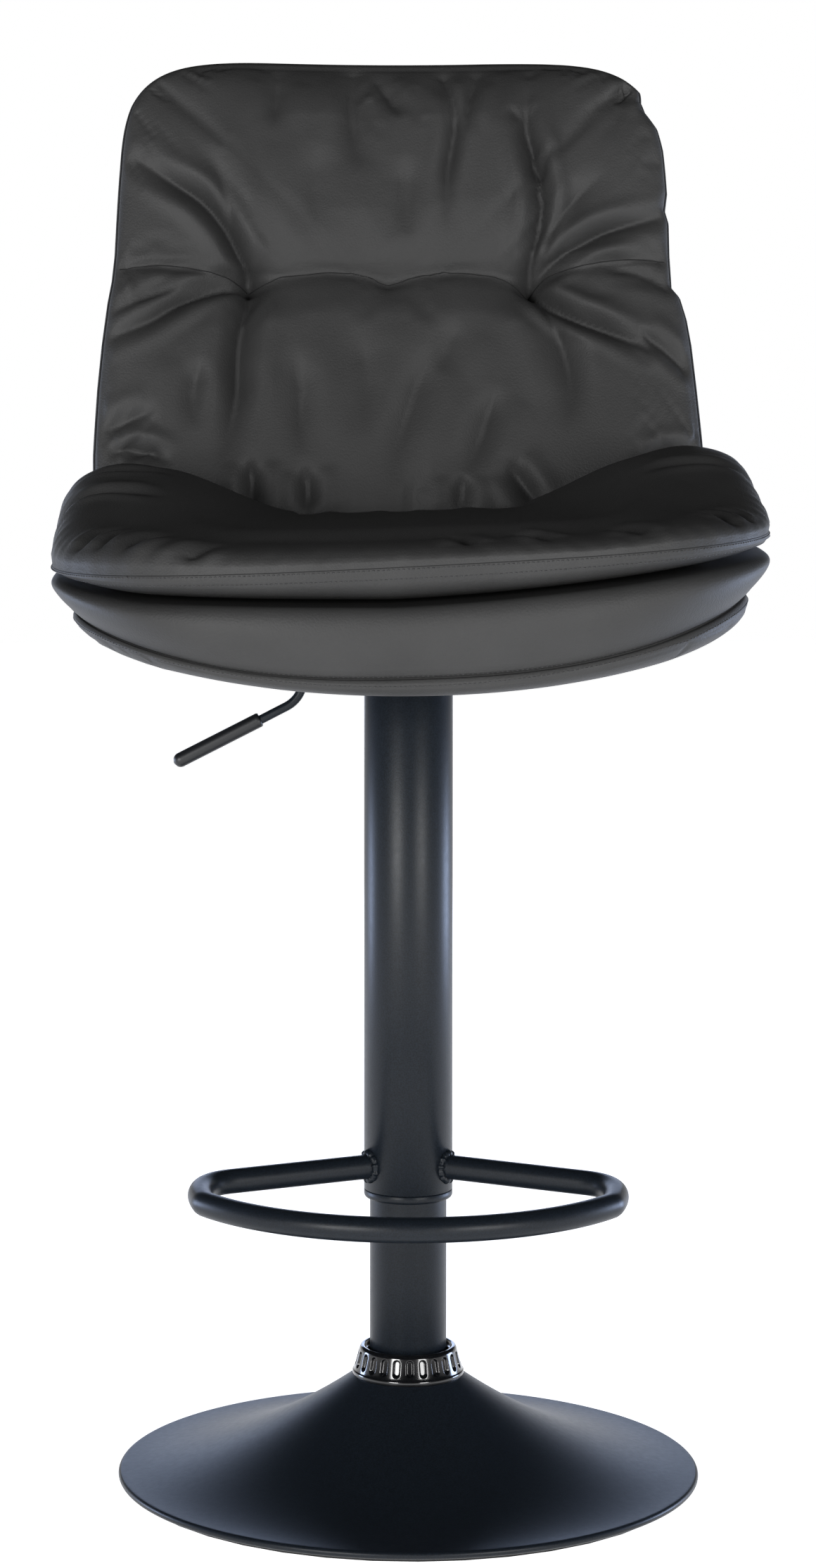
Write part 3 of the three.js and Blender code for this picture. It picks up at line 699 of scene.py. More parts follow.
def rounded_line(points, count=40):
    """Points on the smooth curve through the given ones, by the cubic through four neighbours."""
    p = np.asarray(points, float)
    if len(p) < 3:
        return p
    p = np.concatenate([2 * p[:1] - p[1:2], p, 2 * p[-1:] - p[-2:-1]])
    at = np.linspace(0, len(p) - 3 - 1e-6, count)
    i = at.astype(int)
    f = (at - i)[:, None]
    return (p[i + 1] + f / 2 * (p[i + 2] - p[i]) + f**2 * (p[i] - 2.5 * p[i + 1] + 2 * p[i + 2] - p[i + 3] / 2)
            + f**3 * (1.5 * (p[i + 1] - p[i + 2]) + (p[i + 3] - p[i]) / 2))


def creases(x, y, table, deepen=1.3):
    """Height of creases, each a valley that fades along its line between two raised shoulders.
    Where creases meet, the cube root of summed cubes keeps the deepest. A row gives depth, half
    width, how much stays at the start and at the end, and the line, all in mm."""
    valley, shoulder = np.zeros(x.shape), np.zeros(x.shape)
    for depth, width, at_start, at_end, line in table:
        away, along = nearest_on_line(x, y, rounded_line(line, 6 * len(line)))
        rise, fall = smoothstep(along, 0, 0.35), 1 - smoothstep(along, 0.5, 1)
        fade = (at_start + (1 - at_start) * rise) * (at_end + (1 - at_end) * fall)
        off = away / (width * mm)
        valley += (deepen * depth * mm * fade * np.exp(-(off**1.2))) ** 3
        beside = smoothstep(along, 0, 0.2) * 0.6 * np.exp(-(((off - 2.4) / 1.3) ** 2))
        shoulder += (depth * mm * fade * beside) ** 3
    return np.cbrt(shoulder) - np.cbrt(valley)


# Places on the back: (across, up) in mm.
left_tie, right_tie, middle_tie = (-110, 231), (96, 230), (-8, 231)
cross_seam = [(-225, 236), (-185, 240), (-150, 237), left_tie, (-85, 235), (-55, 238), (-28, 236), middle_tie,
              (18, 236), (45, 238), (72, 236), right_tie, (120, 236), (150, 242), (178, 245), (215, 243)]
back_creases = [
    (8.0, 6.0, 1.0, 0.2, [left_tie, (-119, 250), (-131, 271), (-149, 291), (-172, 306), (-196, 321)]),
    (3.5, 8.0, 0.8, 0.0, [(-114, 245), (-124, 265), (-128, 287), (-136, 313), (-146, 337)]),
    (6.0, 5.5, 1.0, 0.3, [left_tie, (-134, 226), (-154, 218), (-171, 207), (-191, 194), (-218, 184)]),
    (3.0, 5.0, 0.2, 0.5, [(-160, 225), (-185, 216), (-214, 204)]),
    (7.0, 8.0, 1.0, 0.0, [left_tie, (-116, 200), (-120, 170), (-121, 143), (-127, 110), (-138, 82)]),
    (3.0, 8.0, 0.1, 0.0, [(-149, 168), (-154, 135), (-151, 108)]),
    (3.0, 9.0, 0.1, 0.0, [(-80, 180), (-74, 145), (-74, 112), (-69, 85)]),
    (3.5, 10.0, 0.1, 0.0, [(24, 180), (10, 140), (-4, 96), (-10, 70)]),
    (2.0, 9.0, 0.1, 0.0, [(44, 200), (34, 172), (26, 150)]),
    (3.5, 9.0, 0.1, 0.0, [(72, 150), (64, 122), (55, 95), (44, 70)]),
    (5.0, 9.0, 0.9, 0.0, [right_tie, (112, 200), (123, 165), (126, 138), (121, 108)]),
    (8.5, 5.5, 1.0, 0.3, [right_tie, (111, 214), (131, 200), (154, 189), (184, 174)]),
    (4.0, 5.0, 0.1, 0.6, [(176, 190), (192, 178), (214, 160)]),
    (7.5, 6.0, 1.0, 0.1, [right_tie, (101, 256), (107, 280), (106, 305), (101, 330), (97, 355), (100, 396)]),
    (2.0, 6.0, 0.0, 0.0, [(98, 352), (90, 360), (83, 370)]),
    (4.0, 8.0, 0.9, 0.0, [right_tie, (106, 248), (118, 272), (136, 295), (161, 317)]),
    (6.5, 5.5, 1.0, 0.3, [right_tie, (134, 256), (160, 268), (200, 279)]),
    (4.5, 5.0, 0.5, 0.0, [(36, 398), (42, 375), (43, 350), (37, 310), (36, 262)]),
    (3.5, 5.0, 0.5, 0.0, [(60, 398), (54, 372), (51, 338)]),
    (3.0, 7.0, 0.5, 0.0, [(-33, 402), (-35, 370), (-33, 340), (-28, 312)]),
    (2.5, 7.0, 0.5, 0.0, [(-90, 396), (-92, 372), (-96, 345)]),
    (3.0, 6.0, 0.5, 0.0, [(-14, 392), (-4, 374), (4, 356)]),
    (4.0, 5.0, 0.5, 0.1, [(182, 388), (172, 376), (163, 368)]),
    (4.0, 6.0, 0.1, 0.0, [(-112, 92), (-110, 66), (-112, 45)]),
    (4.0, 6.0, 0.1, 0.0, [(-72, 88), (-69, 62), (-72, 40)]),
    (3.0, 6.0, 0.1, 0.0, [(46, 82), (45, 60), (42, 40)]),
    (4.0, 6.0, 0.1, 0.0, [(76, 92), (96, 62), (110, 45)]),
    (3.0, 6.0, 0.6, 0.0, [(-222, 112), (-200, 120), (-178, 126)]),
    (5.0, 5.0, 0.6, 0.0, [(-212, 96), (-190, 94), (-168, 84)]),
    (4.0, 5.0, 0.0, 0.6, [(176, 84), (198, 94), (222, 96)]),
    (2.5, 5.0, 0.0, 0.5, [(150, 240), (178, 234), (200, 224)]),
    (2.0, 12.0, 0.0, 0.0, [(-35, 200), (-25, 150), (-28, 100)]),
    (2.0, 12.0, 0.0, 0.0, [(-60, 340), (-64, 300), (-60, 262)]),
    (2.0, 12.0, 0.0, 0.0, [(5, 330), (2, 295), (-5, 260)]),
]
back_power = 7.0
# Half widths of the sewn edge: (height, width) in mm.
left_edge = [(-20, 226), (60, 228), (96, 227), (146, 224), (180, 221), (213, 217), (230, 214), (250, 212),
             (285, 210.5), (320, 209), (350, 208.5), (370, 208), (430, 202)]
right_edge = [(-20, 222), (60, 224), (96, 224), (146, 220), (180, 217), (200, 214), (217, 209.5),
              (225, 203.5), (250, 202.5), (276, 202.5), (286, 200), (300, 202), (335, 201), (352, 199),
              (366, 193), (374, 193), (382, 197), (430, 190)]


def back_outline(across, up):
    """Plan of the sewn edge: superellipse rings stretched to the half width measured at each height."""
    height = back_tall * (1 + up) / 2
    left = np.interp(height / mm, *zip(*left_edge))
    right = np.interp(height / mm, *zip(*right_edge))
    x = across * np.where(across < 0, left, right) * mm
    droop = 1.5 * smoothstep(-x / mm, 100, 190) + 2 * smoothstep(x / mm, 60, 175)
    return x, height - droop * mm * smoothstep(height / mm, 250, 400)


def back_sheet(n, edge_depth, face_depth, roundness):
    """A sheet of the back between the sewn edge's depth and the depth of its face."""
    across, up, ring = disc_grid(n, back_power)
    x, height = back_outline(across, up)
    full = (1 - ring**roundness) ** (1 / roundness)
    return x, height, ring, on_back(x, (edge_depth + (face_depth - edge_depth) * full) * mm, height)


edge_deep, front_deep, front_round, lining_deep = 30, 3, 3.2, 46
grid_steps = 222


def back_face(coarse, times):
    """The blown sheet with its cross seam, its ties and its creases, all fading out at the rim."""
    x, height, ring, start = back_sheet(coarse, edge_deep, front_deep, front_round)
    seam_away = nearest_on_line(x, height, cross_seam)[0]
    across_seam = (seam_away < 4 * mm) & (abs(x) < 215 * mm)
    rim = ring > 0.999
    move = blow_up(start, across_seam | rim, 7 * mm)
    x, height, ring, grid = back_sheet(coarse * times, edge_deep, front_deep, front_round)
    grid = grid + refine(move, times)
    away = nearest_on_line(x, height, cross_seam)[0] / mm
    inside = smoothstep(x / mm, -130, -100) * (1 - smoothstep(x / mm, 85, 115))
    relief = -(1 + inside) * mm * np.exp(-((away / 20) ** 2)) - 4.2 * mm * np.exp(-((away / 4.5) ** 1.25))
    for (tie_x, tie_up), pull, spread in ((left_tie, 5.5, 10), (right_tie, 5.5, 10), (middle_tie, 2.5, 6)):
        away = np.hypot(x - tie_x * mm, height - tie_up * mm) / mm
        relief -= pull * mm * np.exp(-away / spread) + pull * mm * np.exp(-((away / (5 * spread)) ** 2))
    relief += creases(x, height, back_creases, 2.1)
    relief *= smoothstep(1 - ring, 0, 0.035)
    return grid + outward(grid) * relief[..., None]


back_front = back_face(grid_steps // 3, 3)
back_lining = back_sheet(grid_steps, edge_deep, lining_deep, 6)[3]


def rim_loop(grid):
    """The values round a grid's rim, in order."""
    return np.concatenate([grid[:-1, 0], grid[-1, :-1], grid[:0:-1, -1], grid[0, :0:-1]])


def laid_cord(name, line, normal, radius, sides, closed=True):
    """A round cord laid along a line on a surface, with the surface's normals to keep it straight."""
    ahead = np.roll(line, -1, 0) - np.roll(line, 1, 0) if closed else np.gradient(line, axis=0)
    ahead /= np.linalg.norm(ahead, axis=1)[:, None]
    side = np.cross(ahead, normal)
    side /= np.linalg.norm(side, axis=1)[:, None]
    up = np.cross(side, ahead)
    angle = np.linspace(0, 2 * np.pi, sides, endpoint=False)
    ring = side[:, None] * np.cos(angle)[None, :, None] + up[:, None] * np.sin(angle)[None, :, None]
    return build_mesh(name, line[:, None] + radius * ring, tube_quads(len(line), sides, close_rows=closed))


def seam_shade():
    """Painted shade of a sewn seam's gap: the sunk edges and thread are coloured almost black, as they look in the
    gap's shade.
    """
    # Near-black 0b0b0c is painted shade of the seam gap, much darker than the thread's own colour.
    material, tree, shader = new_material("thread_and_painted_gap_shade", "0b0b0c", 0.8)
    twist = noise_field(tree, 0.6, 2)
    tree.links.new(two_tones(tree, twist.outputs["Fac"], "080808", "111112"), shader.inputs["Base Color"])
    return material


painted_seam_gap_shade = seam_shade()


def seam_line(name, line, normal, radius=0.55, closed=True):
    """The dark line of a seam, half sunk in its groove: a cord coloured with the painted shade of the seam's gap.
    """
    sunk, sides = 0.15 * mm, 6
    cord = laid_cord(name, line - normal * sunk, normal, radius * mm, sides, closed)
    finish_piece(cord, "seat", painted_seam_gap_shade, "leather")


def cross_seam_line(grid, x, height):
    """The seam across the back, found on the grid: one point in each of its columns."""
    line_x, line_up = np.moveaxis(rounded_line(cross_seam, 300), -1, 0) * mm
    middle = len(grid) // 2
    columns = np.arange(4, len(grid) - 4)
    points, normals, up = [], [], outward(grid)
    for i in columns:
        wanted = np.interp(x[i, middle], line_x, line_up)
        for field, found in ((grid, points), (up, normals)):
            found.append([np.interp(wanted, height[i], field[i, :, k]) for k in range(3)])
    return np.array(points), np.array(normals)


back_cushion = join_sheets("back_cushion_sewn", back_front, back_lining)
finish_piece(back_cushion, "seat", leather, "leather", "back_cushion")
back_x, back_height = back_sheet(grid_steps, edge_deep, front_deep, front_round)[:2]
seam_line("back_cross_seam", *cross_seam_line(back_front, back_x, back_height), closed=False)
back_rim, back_rim_up = rim_loop(back_front), rim_loop(outward(back_front))
rearward = np.array([0, math.cos(lean), -math.sin(lean)])
piping_r = 1.7 * mm
piping = laid_cord("back_piping", back_rim + rearward * piping_r, back_rim_up, piping_r, 10)
finish_piece(piping, "seat", leather, "leather")
seam_line("back_edge_seam", back_rim + rearward * 0.1 * mm + back_rim_up * 0.5 * mm, back_rim_up, 0.5)

# Back shell. The same leatherette drawn tight over thin foam on the rear of the bent plywood
# panel, closed to the cushion by a piped seam, with one seam down its middle.


def birch_plywood():
    """Veneer grain runs across the stool; thin plies show as bands of 1.5 mm up the sawn edges."""
    material, tree, shader = new_material("rotary_cut_birch_plywood", "c8ab7e", 0.55)
    grain = noise_field(tree, 3, 4, 0.6, stretch=(0.08, 1, 1))
    plies = noise_field(tree, 1.5, 0, 0.5, stretch=(0.01, 0.01, 1))
    veneer = two_tones(tree, grain.outputs["Fac"], "b8965f", "d3b98c")
    glue = add_node(tree, "ShaderNodeMixRGB", {"blend_type": "MULTIPLY", "Color2": linear("9a7a50")},
                    {"Fac": remap(tree, plies.outputs["Fac"], 0, 0.6), "Color1": veneer})
    tree.links.new(glue.outputs["Color"], shader.inputs["Base Color"])
    bump(tree, shader, (grain.outputs["Fac"], 0.08, 0.4))
    return material


dress(["back_panel", "seat_board"], birch_plywood())


def back_shell_sheet(depth_edge, depth_face, roundness, groove):
    """The rear cover: the back's outline drawn in a little, with its foot carried below the cushion."""
    across, up, ring = disc_grid(200, back_power)
    x, height = back_outline(across, up)
    x = x * 0.975
    height = -22 * mm + height * (427 / 408)
    full = (1 - ring**roundness) ** (1 / roundness)
    depth = depth_edge + (depth_face - depth_edge) * full
    depth = depth - groove * np.exp(-((x / (1.6 * mm)) ** 2)) * smoothstep(1 - ring, 0.0, 0.05)
    return on_back(x, depth * mm, height)


shell_rear = back_shell_sheet(43, 77, 3.5, 1.8)
shell_front = back_shell_sheet(43, 54.6, 10, 0)
back_shell = join_sheets("back_shell_cover", shell_front, shell_rear)
finish_piece(back_shell, "seat", leather, "leather", "back_shell")

# Dust cover. Black spunbond cloth stretched over the underside of the seat board and stapled round
# its edge, so that it dimples a little between the staples.
cloth_low, cloth_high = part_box("dust_cover")


def dust_cloth():
    """Heat-bonded dots 1.6 mm apart press a matt web of fibres flat."""
    material, tree, shader = new_material("spunbond_black_dust_cloth", "1b1b1c", 0.9)
    place = add_node(tree, "ShaderNodeTexCoord")
    dots = add_node(tree, "ShaderNodeTexVoronoi", {"Scale": 1 / (1.6 * mm), "Randomness": 0.15},
                    {"Vector": place.outputs["Object"]})
    fibres = noise_field(tree, 0.7, 5, 0.7)
    tree.links.new(two_tones(tree, fibres.outputs["Fac"], "141415", "262628"), shader.inputs["Base Color"])
    bump(tree, shader, (fibres.outputs["Fac"], 0.08, 0.6), (dots.outputs["Distance"], 0.12, 0.5))
    return material


def dust_cover_sheet(height, dimple):
    """The board's outline, drawn up at each staple and a little slack between them."""
    across, along, ring = disc_grid(96, 4.7)
    staples = 0.5 + 0.5 * np.cos(np.arctan2(along, across) * 28)
    slack = dimple * staples * np.exp(-(((ring - 0.93) / 0.05) ** 2))
    trim = 0.5 * mm
    return np.stack([across * (cloth_high.x - trim), along * (cloth_high.y - trim), height - slack], -1)


cloth_rim = dust_cover_sheet((cloth_low.z + cloth_high.z) / 2, 0)
cloth_up, cloth_down = dust_cover_sheet(cloth_high.z, 0), dust_cover_sheet(cloth_low.z, 0.5 * mm)
for side in (0, -1):
    cloth_up[side], cloth_up[:, side] = cloth_rim[side], cloth_rim[:, side]
dust_cover = join_sheets("dust_cover_stapled", cloth_up, cloth_down)
finish_piece(dust_cover, "seat", dust_cloth(), "dust_cloth", "dust_cover")

# Seat cushion. Foam in leatherette, hollowed in the middle and turned up towards its rear corners.
# Its top panel meets a side band in a topstitched seam that sags towards one end.
seat_half_w, seat_front, seat_back = 250 * mm, -203 * mm, 178 * mm
seat_power, rear_power = 2.7, 4.5


def seat_plan(across, along, half_w):
    """The pads' outline in plan: its rear half is pushed out to squarer corners."""
    round_size = (abs(across) ** seat_power + abs(along) ** seat_power) ** (1 / seat_power)
    square_size = (abs(across) ** rear_power + abs(along) ** rear_power) ** (1 / rear_power)
    push = (round_size / np.maximum(square_size, 1e-9)) ** smoothstep(along / np.maximum(round_size, 1e-9), 0, 0.4)
    return across * push * half_w, (seat_front + seat_back) / 2 + along * push * (seat_back - seat_front) / 2


def against_back(points, gap):
    """Presses what lies behind the back's front face up to that face: past the start of a zone, depth
    is squeezed by a falling exponential so that it never reaches the face. Below the back's foot
    the limit is further back, so that the board's rear edge stays covered."""
    zone, further = 45 * mm, 26 * mm
    x, y, z = np.moveaxis(points, -1, 0)
    height = np.maximum(z - back_foot[2], 0)
    limit = back_foot[1] + side_curl * (1 - (x / (200 * mm)) ** 2) + math.tan(lean) * height - gap
    limit = limit + further * (1 - smoothstep(z / mm, 600, 616))
    start = limit - zone
    over = np.maximum(y - start, 0)
    pressed = start + (limit - start) * (1 - np.exp(-over / (limit - start)))
    return np.stack([x, np.where(y > start, pressed, y), z], -1)


def groove_height(x):
    """Height of the line where the two pads meet; it rises towards the sitter's left."""
    x = x / mm
    return (635.5 + 26 * np.clip((x + 20) / 265, 0, 1) ** 1.3 + 9 * np.clip((-x - 175) / 70, 0, 1) ** 2) * mm


def cushion_seam_height(x, y):
    """The seam rises a little to one side, and lifts with the wings at the rear corners."""
    wing = smoothstep(abs(x) / mm, 110, 245) * smoothstep(y / mm, -20, 140)
    return (662.5 + 0.05 * x / mm + 24 * wing) * mm


def cushion_top_height(x, y):
    """A level middle that falls a little to the rear, soft sides and two wings at the rear corners."""
    x, y = x / mm, y / mm
    fall = 6 * smoothstep(y, -120, 150)
    sides = 8 * smoothstep(abs(x), 110, 190) * (1 - smoothstep(y, 0, 120))
    wings = 49 * smoothstep(abs(x), 62, 212) * smoothstep(y, -105, 112)
    return (678 - fall + sides + wings + 0.03 * x) * mm


def cushion_sheet(n, part):
    """Top panel or underside: from the seam's height to the top's or the groove's, round at the rim."""
    across, along, ring = disc_grid(n, seat_power)
    x, y = seat_plan(across, along, seat_half_w)
    seam = cushion_seam_height(x, y)
    if part == "top":
        z = seam + (cushion_top_height(x, y) - seam) * (1 - ring**14) ** (1 / 2.4)
    else:
        z = seam + (groove_height(x) + 0.6 * mm - seam) * (1 - ring**9) ** (1 / 2.6)
    return x, y, ring, against_back(np.stack([x, y, z], -1), 2.5 * mm)


# Creases of the seat's top: (across, along) in mm, in plan.
cushion_creases = [
    (4.0, 6.0, 0.2, 0.0, [(-172, -192), (-150, -178), (-126, -160)]),
    (3.0, 6.0, 0.2, 0.0, [(-200, -150), (-180, -138), (-160, -132)]),
    (3.0, 5.0, 0.3, 0.0, [(34, -192), (30, -176), (24, -160)]),
    (3.5, 5.0, 0.2, 0.0, [(88, -184), (78, -168), (62, -158)]),
    (3.0, 6.0, 0.2, 0.0, [(150, -176), (142, -158), (126, -146)]),
    (3.5, 4.5, 0.6, 0.0, [(-244, 12), (-205, 2), (-168, -22)]),
    (3.0, 5.0, 0.4, 0.0, [(-236, 70), (-196, 52), (-160, 46)]),
    (3.0, 5.0, 0.4, 0.0, [(240, 30), (200, 24), (160, 4)]),
    (3.0, 5.0, 0.4, 0.0, [(-60, 150), (-66, 110), (-80, 84)]),
    (3.0, 6.0, 0.4, 0.0, [(52, 150), (60, 112), (78, 92)]),
    (2.5, 6.0, 0.4, 0.0, [(0, 152), (-4, 118), (2, 92)]),
    (3.0, 5.0, 0.8, 0.0, [(-226, -108), (-214, -96), (-198, -84)]),
    (2.5, 4.0, 0.8, 0.0, [(-212, -128), (-202, -112), (-186, -100)]),
    (3.0, 5.0, 0.8, 0.0, [(214, -124), (204, -110), (186, -100)]),
    (2.5, 4.0, 0.8, 0.0, [(228, -104), (216, -92), (200, -86)]),
]


def from_rim(grid):
    """Rough distance over the sheet from its rim, in mm, from ring steps summed along the grid."""
    n = len(grid) - 1
    i, j = np.meshgrid(np.arange(n + 1), np.arange(n + 1), indexing="ij")
    level = np.minimum(np.minimum(i, n - i), np.minimum(j, n - j))
    middle = n // 2
    line = grid[middle, : middle + 1]
    run = np.concatenate([[0], np.cumsum(np.linalg.norm(np.diff(line, axis=0), axis=1))]) / mm
    return run[level]


def cushion_top(coarse, times):
    """The blown top panel with creases, and a narrow groove where it is sewn to the band."""
    _, _, ring, start = cushion_sheet(coarse, "top")
    move = blow_up(start, ring > 0.999, 6 * mm)
    x, y, ring, grid = cushion_sheet(coarse * times, "top")
    grid = grid + refine(move, times) * (1 - smoothstep(ring, 0.62, 0.85))[..., None]
    relief = creases(x, y, cushion_creases) * smoothstep(1 - ring, 0, 0.03)
    bearing = np.arctan2(y, x)
    puckers = np.sin(bearing * 61) * np.sin(bearing * 23 + 1)
    edge = from_rim(grid)
    relief += 0.5 * mm * puckers * np.exp(-(((edge - 9) / 8) ** 2))
    return grid + outward(grid) * relief[..., None], edge


def sew_line(grid, edge, groove, flap, row=0):
    """Sinks a groove at the rim, lifts the doubled edge beside it and pulls in the row stitched along it."""
    doubled = smoothstep(edge, 0.6, 2) * (1 - smoothstep(edge, 7.5, 10))
    relief = -groove * mm * np.exp(-((edge / 1.1) ** 2)) + flap * mm * doubled
    if row:
        relief -= 0.7 * mm * np.exp(-(((edge - row) / 1.3) ** 2))
    return grid + outward(grid) * relief[..., None]


def join_rims(face, lining):
    """Moves both sheets' rims to the line midway between them."""
    mean = (face + lining) / 2
    for side in (0, -1):
        face[side], face[:, side] = mean[side], mean[:, side]


cushion_face, face_edge = cushion_top(grid_steps // 3, 3)
cushion_under = cushion_sheet(grid_steps, "under")[3]
under_edge = from_rim(cushion_under)
cushion_face = sew_line(cushion_face, face_edge, 1.2, 0.2)
cushion_under = sew_line(cushion_under[:, ::-1], under_edge, 1.2, 0.5, 8)[:, ::-1]
join_rims(cushion_face, cushion_under)
seat_cushion = join_sheets("seat_cushion_sewn", cushion_face, cushion_under)
finish_piece(seat_cushion, "seat", leather, "leather", "seat_cushion")
seam_line("cushion_seam", rim_loop(cushion_face), rim_loop(outward(cushion_face) - outward(cushion_under)))

# Lower pad. A leatherette border wrapped round the seat board over foam. Its face panel is sewn
# to the underside in a double-stitched seam near the bottom, and it is hollowed to take the board.
pad_half_w = 247.5 * mm
board_half = np.array([150, 145]) * mm
board_corner, recess_top = 70 * mm, 605 * mm


def pad_seam_height(x):
    """The seam curves up to both sides as a power of the distance from the middle."""
    return (588 + 44 * (abs(x) / (245 * mm)) ** 2.5 + 0.03 * x / mm) * mm


def pad_bottom_height(x):
    """The underside is a shallow dish, a parabola across."""
    return (573.5 + 0.0006 * (x / mm) ** 2 + 0.01 * x / mm) * mm


def around_board(x, y):
    """Distance outside the board's outline or the two straps that leave it at the rear."""
    qx, qy = abs(x) - board_half[0] + board_corner, abs(y) - board_half[1] + board_corner
    board = np.hypot(np.maximum(qx, 0), np.maximum(qy, 0)) + np.minimum(np.maximum(qx, qy), 0) - board_corner
    strap = np.maximum(abs(abs(x) - 92 * mm) - 19 * mm, 80 * mm - y)
    return np.minimum(board, strap)


def pad_face_sheet(n):
    """Flat on top, then over a round shoulder and down a full side to the seam: a cubic curve
    of radius share against height share is carried round the plan."""
    across, along, ring = disc_grid(n, seat_power)
    q = np.clip((ring - 0.6) / 0.4, 0, 1)
    share_r = (1 - q) ** 3 * 0.955 + 3 * (1 - q) ** 2 * q * 1.03 + 3 * (1 - q) * q**2 * 1.03 + q**3 * 0.935
    share_z = (1 - q) ** 3 + 3 * (1 - q) ** 2 * q + 3 * (1 - q) * q**2 * 0.42
    radius = np.where(ring < 0.6, ring / 0.6 * 0.955, share_r) / np.maximum(ring, 1e-9)
    x, y = seat_plan(across * radius, along * radius, pad_half_w)
    top = groove_height(x) - 0.6 * mm
    z = pad_seam_height(x) + (top - pad_seam_height(x)) * share_z
    return x, y, ring, against_back(np.stack([x, y, z], -1), 3 * mm)


def pad_under_sheet(n):
    """The underside: down from the seam round a short curve, flat, then up into the board's recess."""
    across, along, ring = disc_grid(n, seat_power)
    q = np.clip((1 - ring) / 0.3, 0, 1)
    share_r = (1 - q) ** 3 * 0.935 + 3 * (1 - q) ** 2 * q * 0.97 + 3 * (1 - q) * q**2 * 0.93 + q**3 * 0.76
    share_z = 3 * (1 - q) ** 2 * q * 0.55 + 3 * (1 - q) * q**2 + q**3
    radius = np.where(ring < 0.7, ring / 0.7 * 0.76, share_r) / np.maximum(ring, 1e-9)
    x, y = seat_plan(across * radius, along * radius, pad_half_w)
    z = pad_seam_height(x) + (pad_bottom_height(x) - pad_seam_height(x)) * share_z
    recess = 1 - smoothstep(around_board(x, y) / mm, 1.5, 12)
    z = np.maximum(z, z + (recess_top - z) * recess)
    return x, y, ring, against_back(np.stack([x, y, z], -1), 3 * mm)


def pad_under(coarse, times):
    """The blown underside; the rim and the recess are held."""
    x, y, ring, start = pad_under_sheet(coarse)
    held = (ring > 0.93) | (around_board(x, y) < 14 * mm) | (y > 60 * mm)
    move = blow_up(start[:, ::-1], held[:, ::-1], 4 * mm)[:, ::-1]
    return pad_under_sheet(coarse * times)[3] + refine(move, times)


pad_face = pad_face_sheet(grid_steps)[3]
pad_underside = pad_under(grid_steps // 3, 3)
face_gap, under_gap = from_rim(pad_face), from_rim(pad_underside)
pad_face = sew_line(pad_face, face_gap, 1.2, 0.3)
pad_underside = sew_line(pad_underside[:, ::-1], under_gap, 1.2, 0.5, 7)[:, ::-1]
join_rims(pad_face, pad_underside)
lower_pad = join_sheets("seat_lower_pad_sewn", pad_face, pad_underside)
finish_piece(lower_pad, "seat", leather, "leather", "seat_lower_pad")
seam_line("pad_seam", rim_loop(pad_face), rim_loop(outward(pad_face) - outward(pad_underside)))

# Stitching. Bonded nylon thread, 3.3 mm a stitch, beside the seams of both seat pads.
stitch_pitch, stitch_length, thread_r = 3.3 * mm, 2.3 * mm, 0.36 * mm


def sewing_thread():
    """Bonded filaments, a little lighter than the leatherette."""
    material, tree, shader = new_material("charcoal_bonded_nylon_thread", "2c2c2d", 0.6)
    twist = noise_field(tree, 0.5, 2)
    tree.links.new(two_tones(tree, twist.outputs["Fac"], "232324", "3a3a3b"), shader.inputs["Base Color"])
    return material


def sample_grid(grid, u, v):
    """Values of a grid at fractional positions, by the four points around each."""
    n = len(grid) - 1
    u, v = (u + 1) / 2 * n, (v + 1) / 2 * n
    i, j = np.clip(u.astype(int), 0, n - 1), np.clip(v.astype(int), 0, n - 1)
    fu, fv = (u - i)[..., None], (v - j)[..., None]
    low = grid[i, j] * (1 - fu) + grid[i + 1, j] * fu
    high = grid[i, j + 1] * (1 - fu) + grid[i + 1, j + 1] * fu
    return low * (1 - fv) + high * fv


def line_beside_rim(grid, normal, distance):
    """A line at one distance from the rim over a sheet, with its normals, all the way round."""
    count = 2400
    turnround = np.linspace(0, 4, count, endpoint=False)
    corner_x = np.interp(turnround, [0, 1, 2, 3, 4], [-1, 1, 1, -1, -1])
    corner_y = np.interp(turnround, [0, 1, 2, 3, 4], [-1, -1, 1, 1, -1])
    level = np.linspace(1, 0.75, 40)[:, None]
    places = sample_grid(grid, corner_x * level, corner_y * level)
    steps = np.linalg.norm(np.diff(places, axis=0), axis=2)
    run = np.concatenate([np.zeros((1, count)), np.cumsum(steps, axis=0)])
    inward = np.array([np.interp(distance, run[:, k], level[:, 0]) for k in range(count)])
    u, v = corner_x * inward, corner_y * inward
    return sample_grid(grid, u, v), sample_grid(normal, u, v)


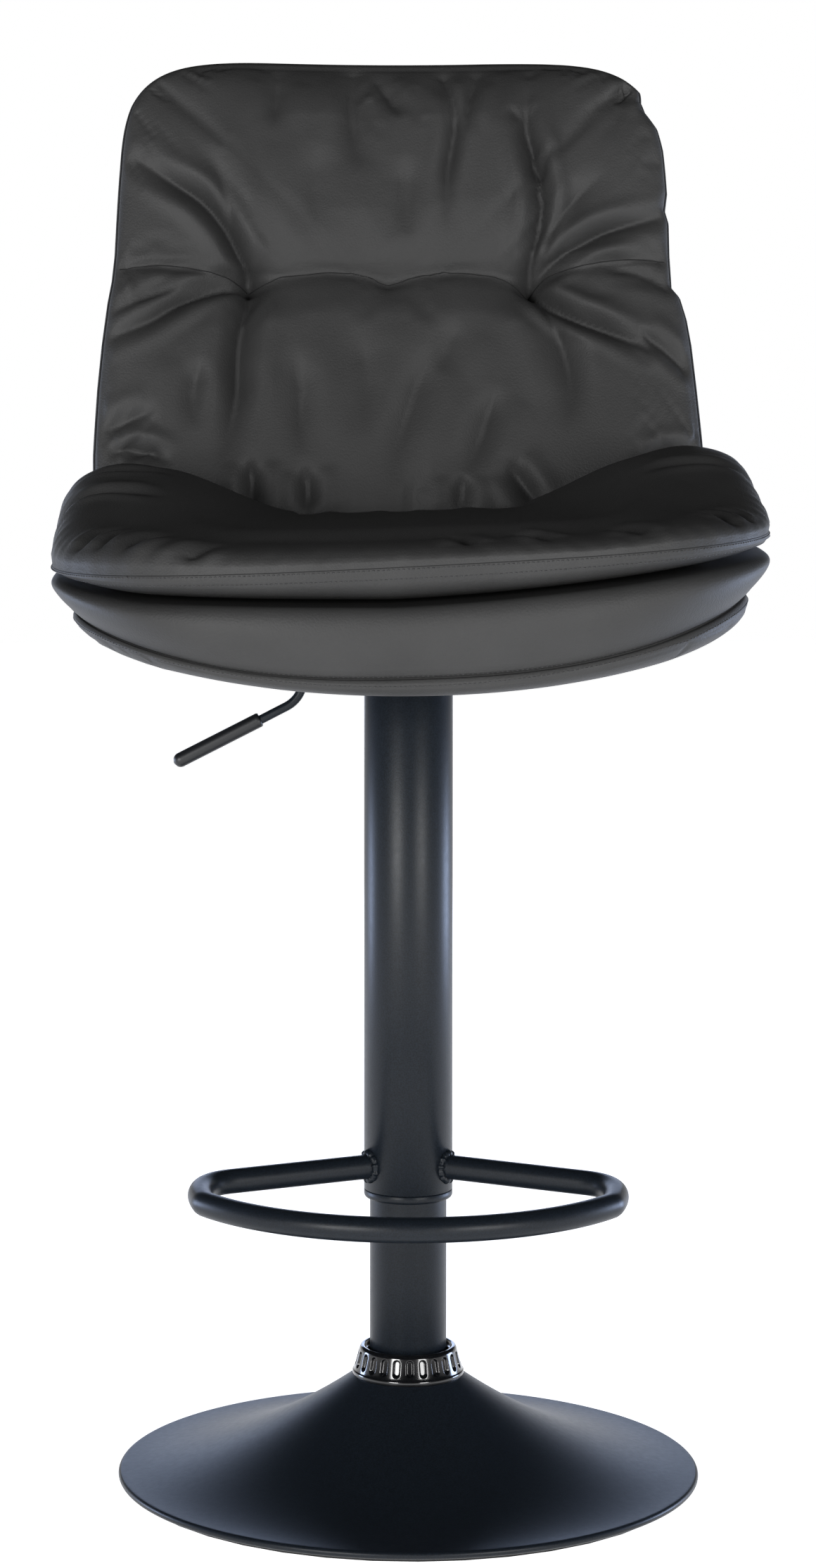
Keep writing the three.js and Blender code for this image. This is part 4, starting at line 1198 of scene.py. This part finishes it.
def walk(values, run, where):
    """Values of a closed line at distances along it."""
    closed = np.concatenate([values, values[:1]])
    return np.stack([np.interp(where, run, closed[:, i]) for i in range(3)], -1)


def stitch_row(name, line, normal):
    """Short spindles of thread laid along a closed line, their ends sunk into the needle holes. The
    row stops where the back hides it."""
    around = np.concatenate([line, line[:1]])
    run = np.concatenate([[0], np.cumsum(np.linalg.norm(np.diff(around, axis=0), axis=1))])
    at = np.arange(0, run[-1] - stitch_pitch, stitch_pitch)
    centre, up = walk(line, run, at), walk(normal, run, at)
    ahead = walk(line, run, at + 0.5 * mm) - centre
    in_front = centre[:, 1] < 100 * mm
    centre, up, ahead = centre[in_front], up[in_front], ahead[in_front]
    ahead /= np.linalg.norm(ahead, axis=1)[:, None]
    up /= np.linalg.norm(up, axis=1)[:, None]
    side = np.cross(up, ahead)
    slide = np.array([-1, -0.8, -0.3, 0.3, 0.8, 1]) * stitch_length / 2
    thick = np.array([0.05, 0.75, 1, 1, 0.75, 0.05]) * thread_r
    sink = np.array([-0.5, -0.1, 0.18, 0.18, -0.1, -0.5]) * mm
    angle = np.linspace(0, 2 * np.pi, len(slide), endpoint=False)
    points = (centre[:, None, None] + ahead[:, None, None] * slide[None, :, None, None]
              + up[:, None, None] * (sink[:, None] + thick[:, None] * np.sin(angle))[None, ..., None]
              + side[:, None, None] * (thick[:, None] * np.cos(angle))[None, ..., None])
    quads = tube_quads(len(slide), len(angle))
    every = quads[None] + slide.size * angle.size * np.arange(len(centre))[:, None, None]
    finish_piece(build_mesh(name, points, every), "seat", thread, "leather")


thread = sewing_thread()
cushion_under_up = outward(cushion_under[:, ::-1])[:, ::-1]
pad_face_up = outward(pad_face)
pad_under_up = outward(pad_underside[:, ::-1])[:, ::-1]
stitch_row("cushion_seam_stitches", *line_beside_rim(cushion_under, cushion_under_up, 1.6 * mm))
stitch_row("cushion_topstitching", *line_beside_rim(cushion_under, cushion_under_up, 8.0 * mm))
stitch_row("pad_seam_stitches", *line_beside_rim(pad_face, pad_face_up, 1.6 * mm))
stitch_row("pad_topstitching", *line_beside_rim(pad_underside, pad_under_up, 7.0 * mm))
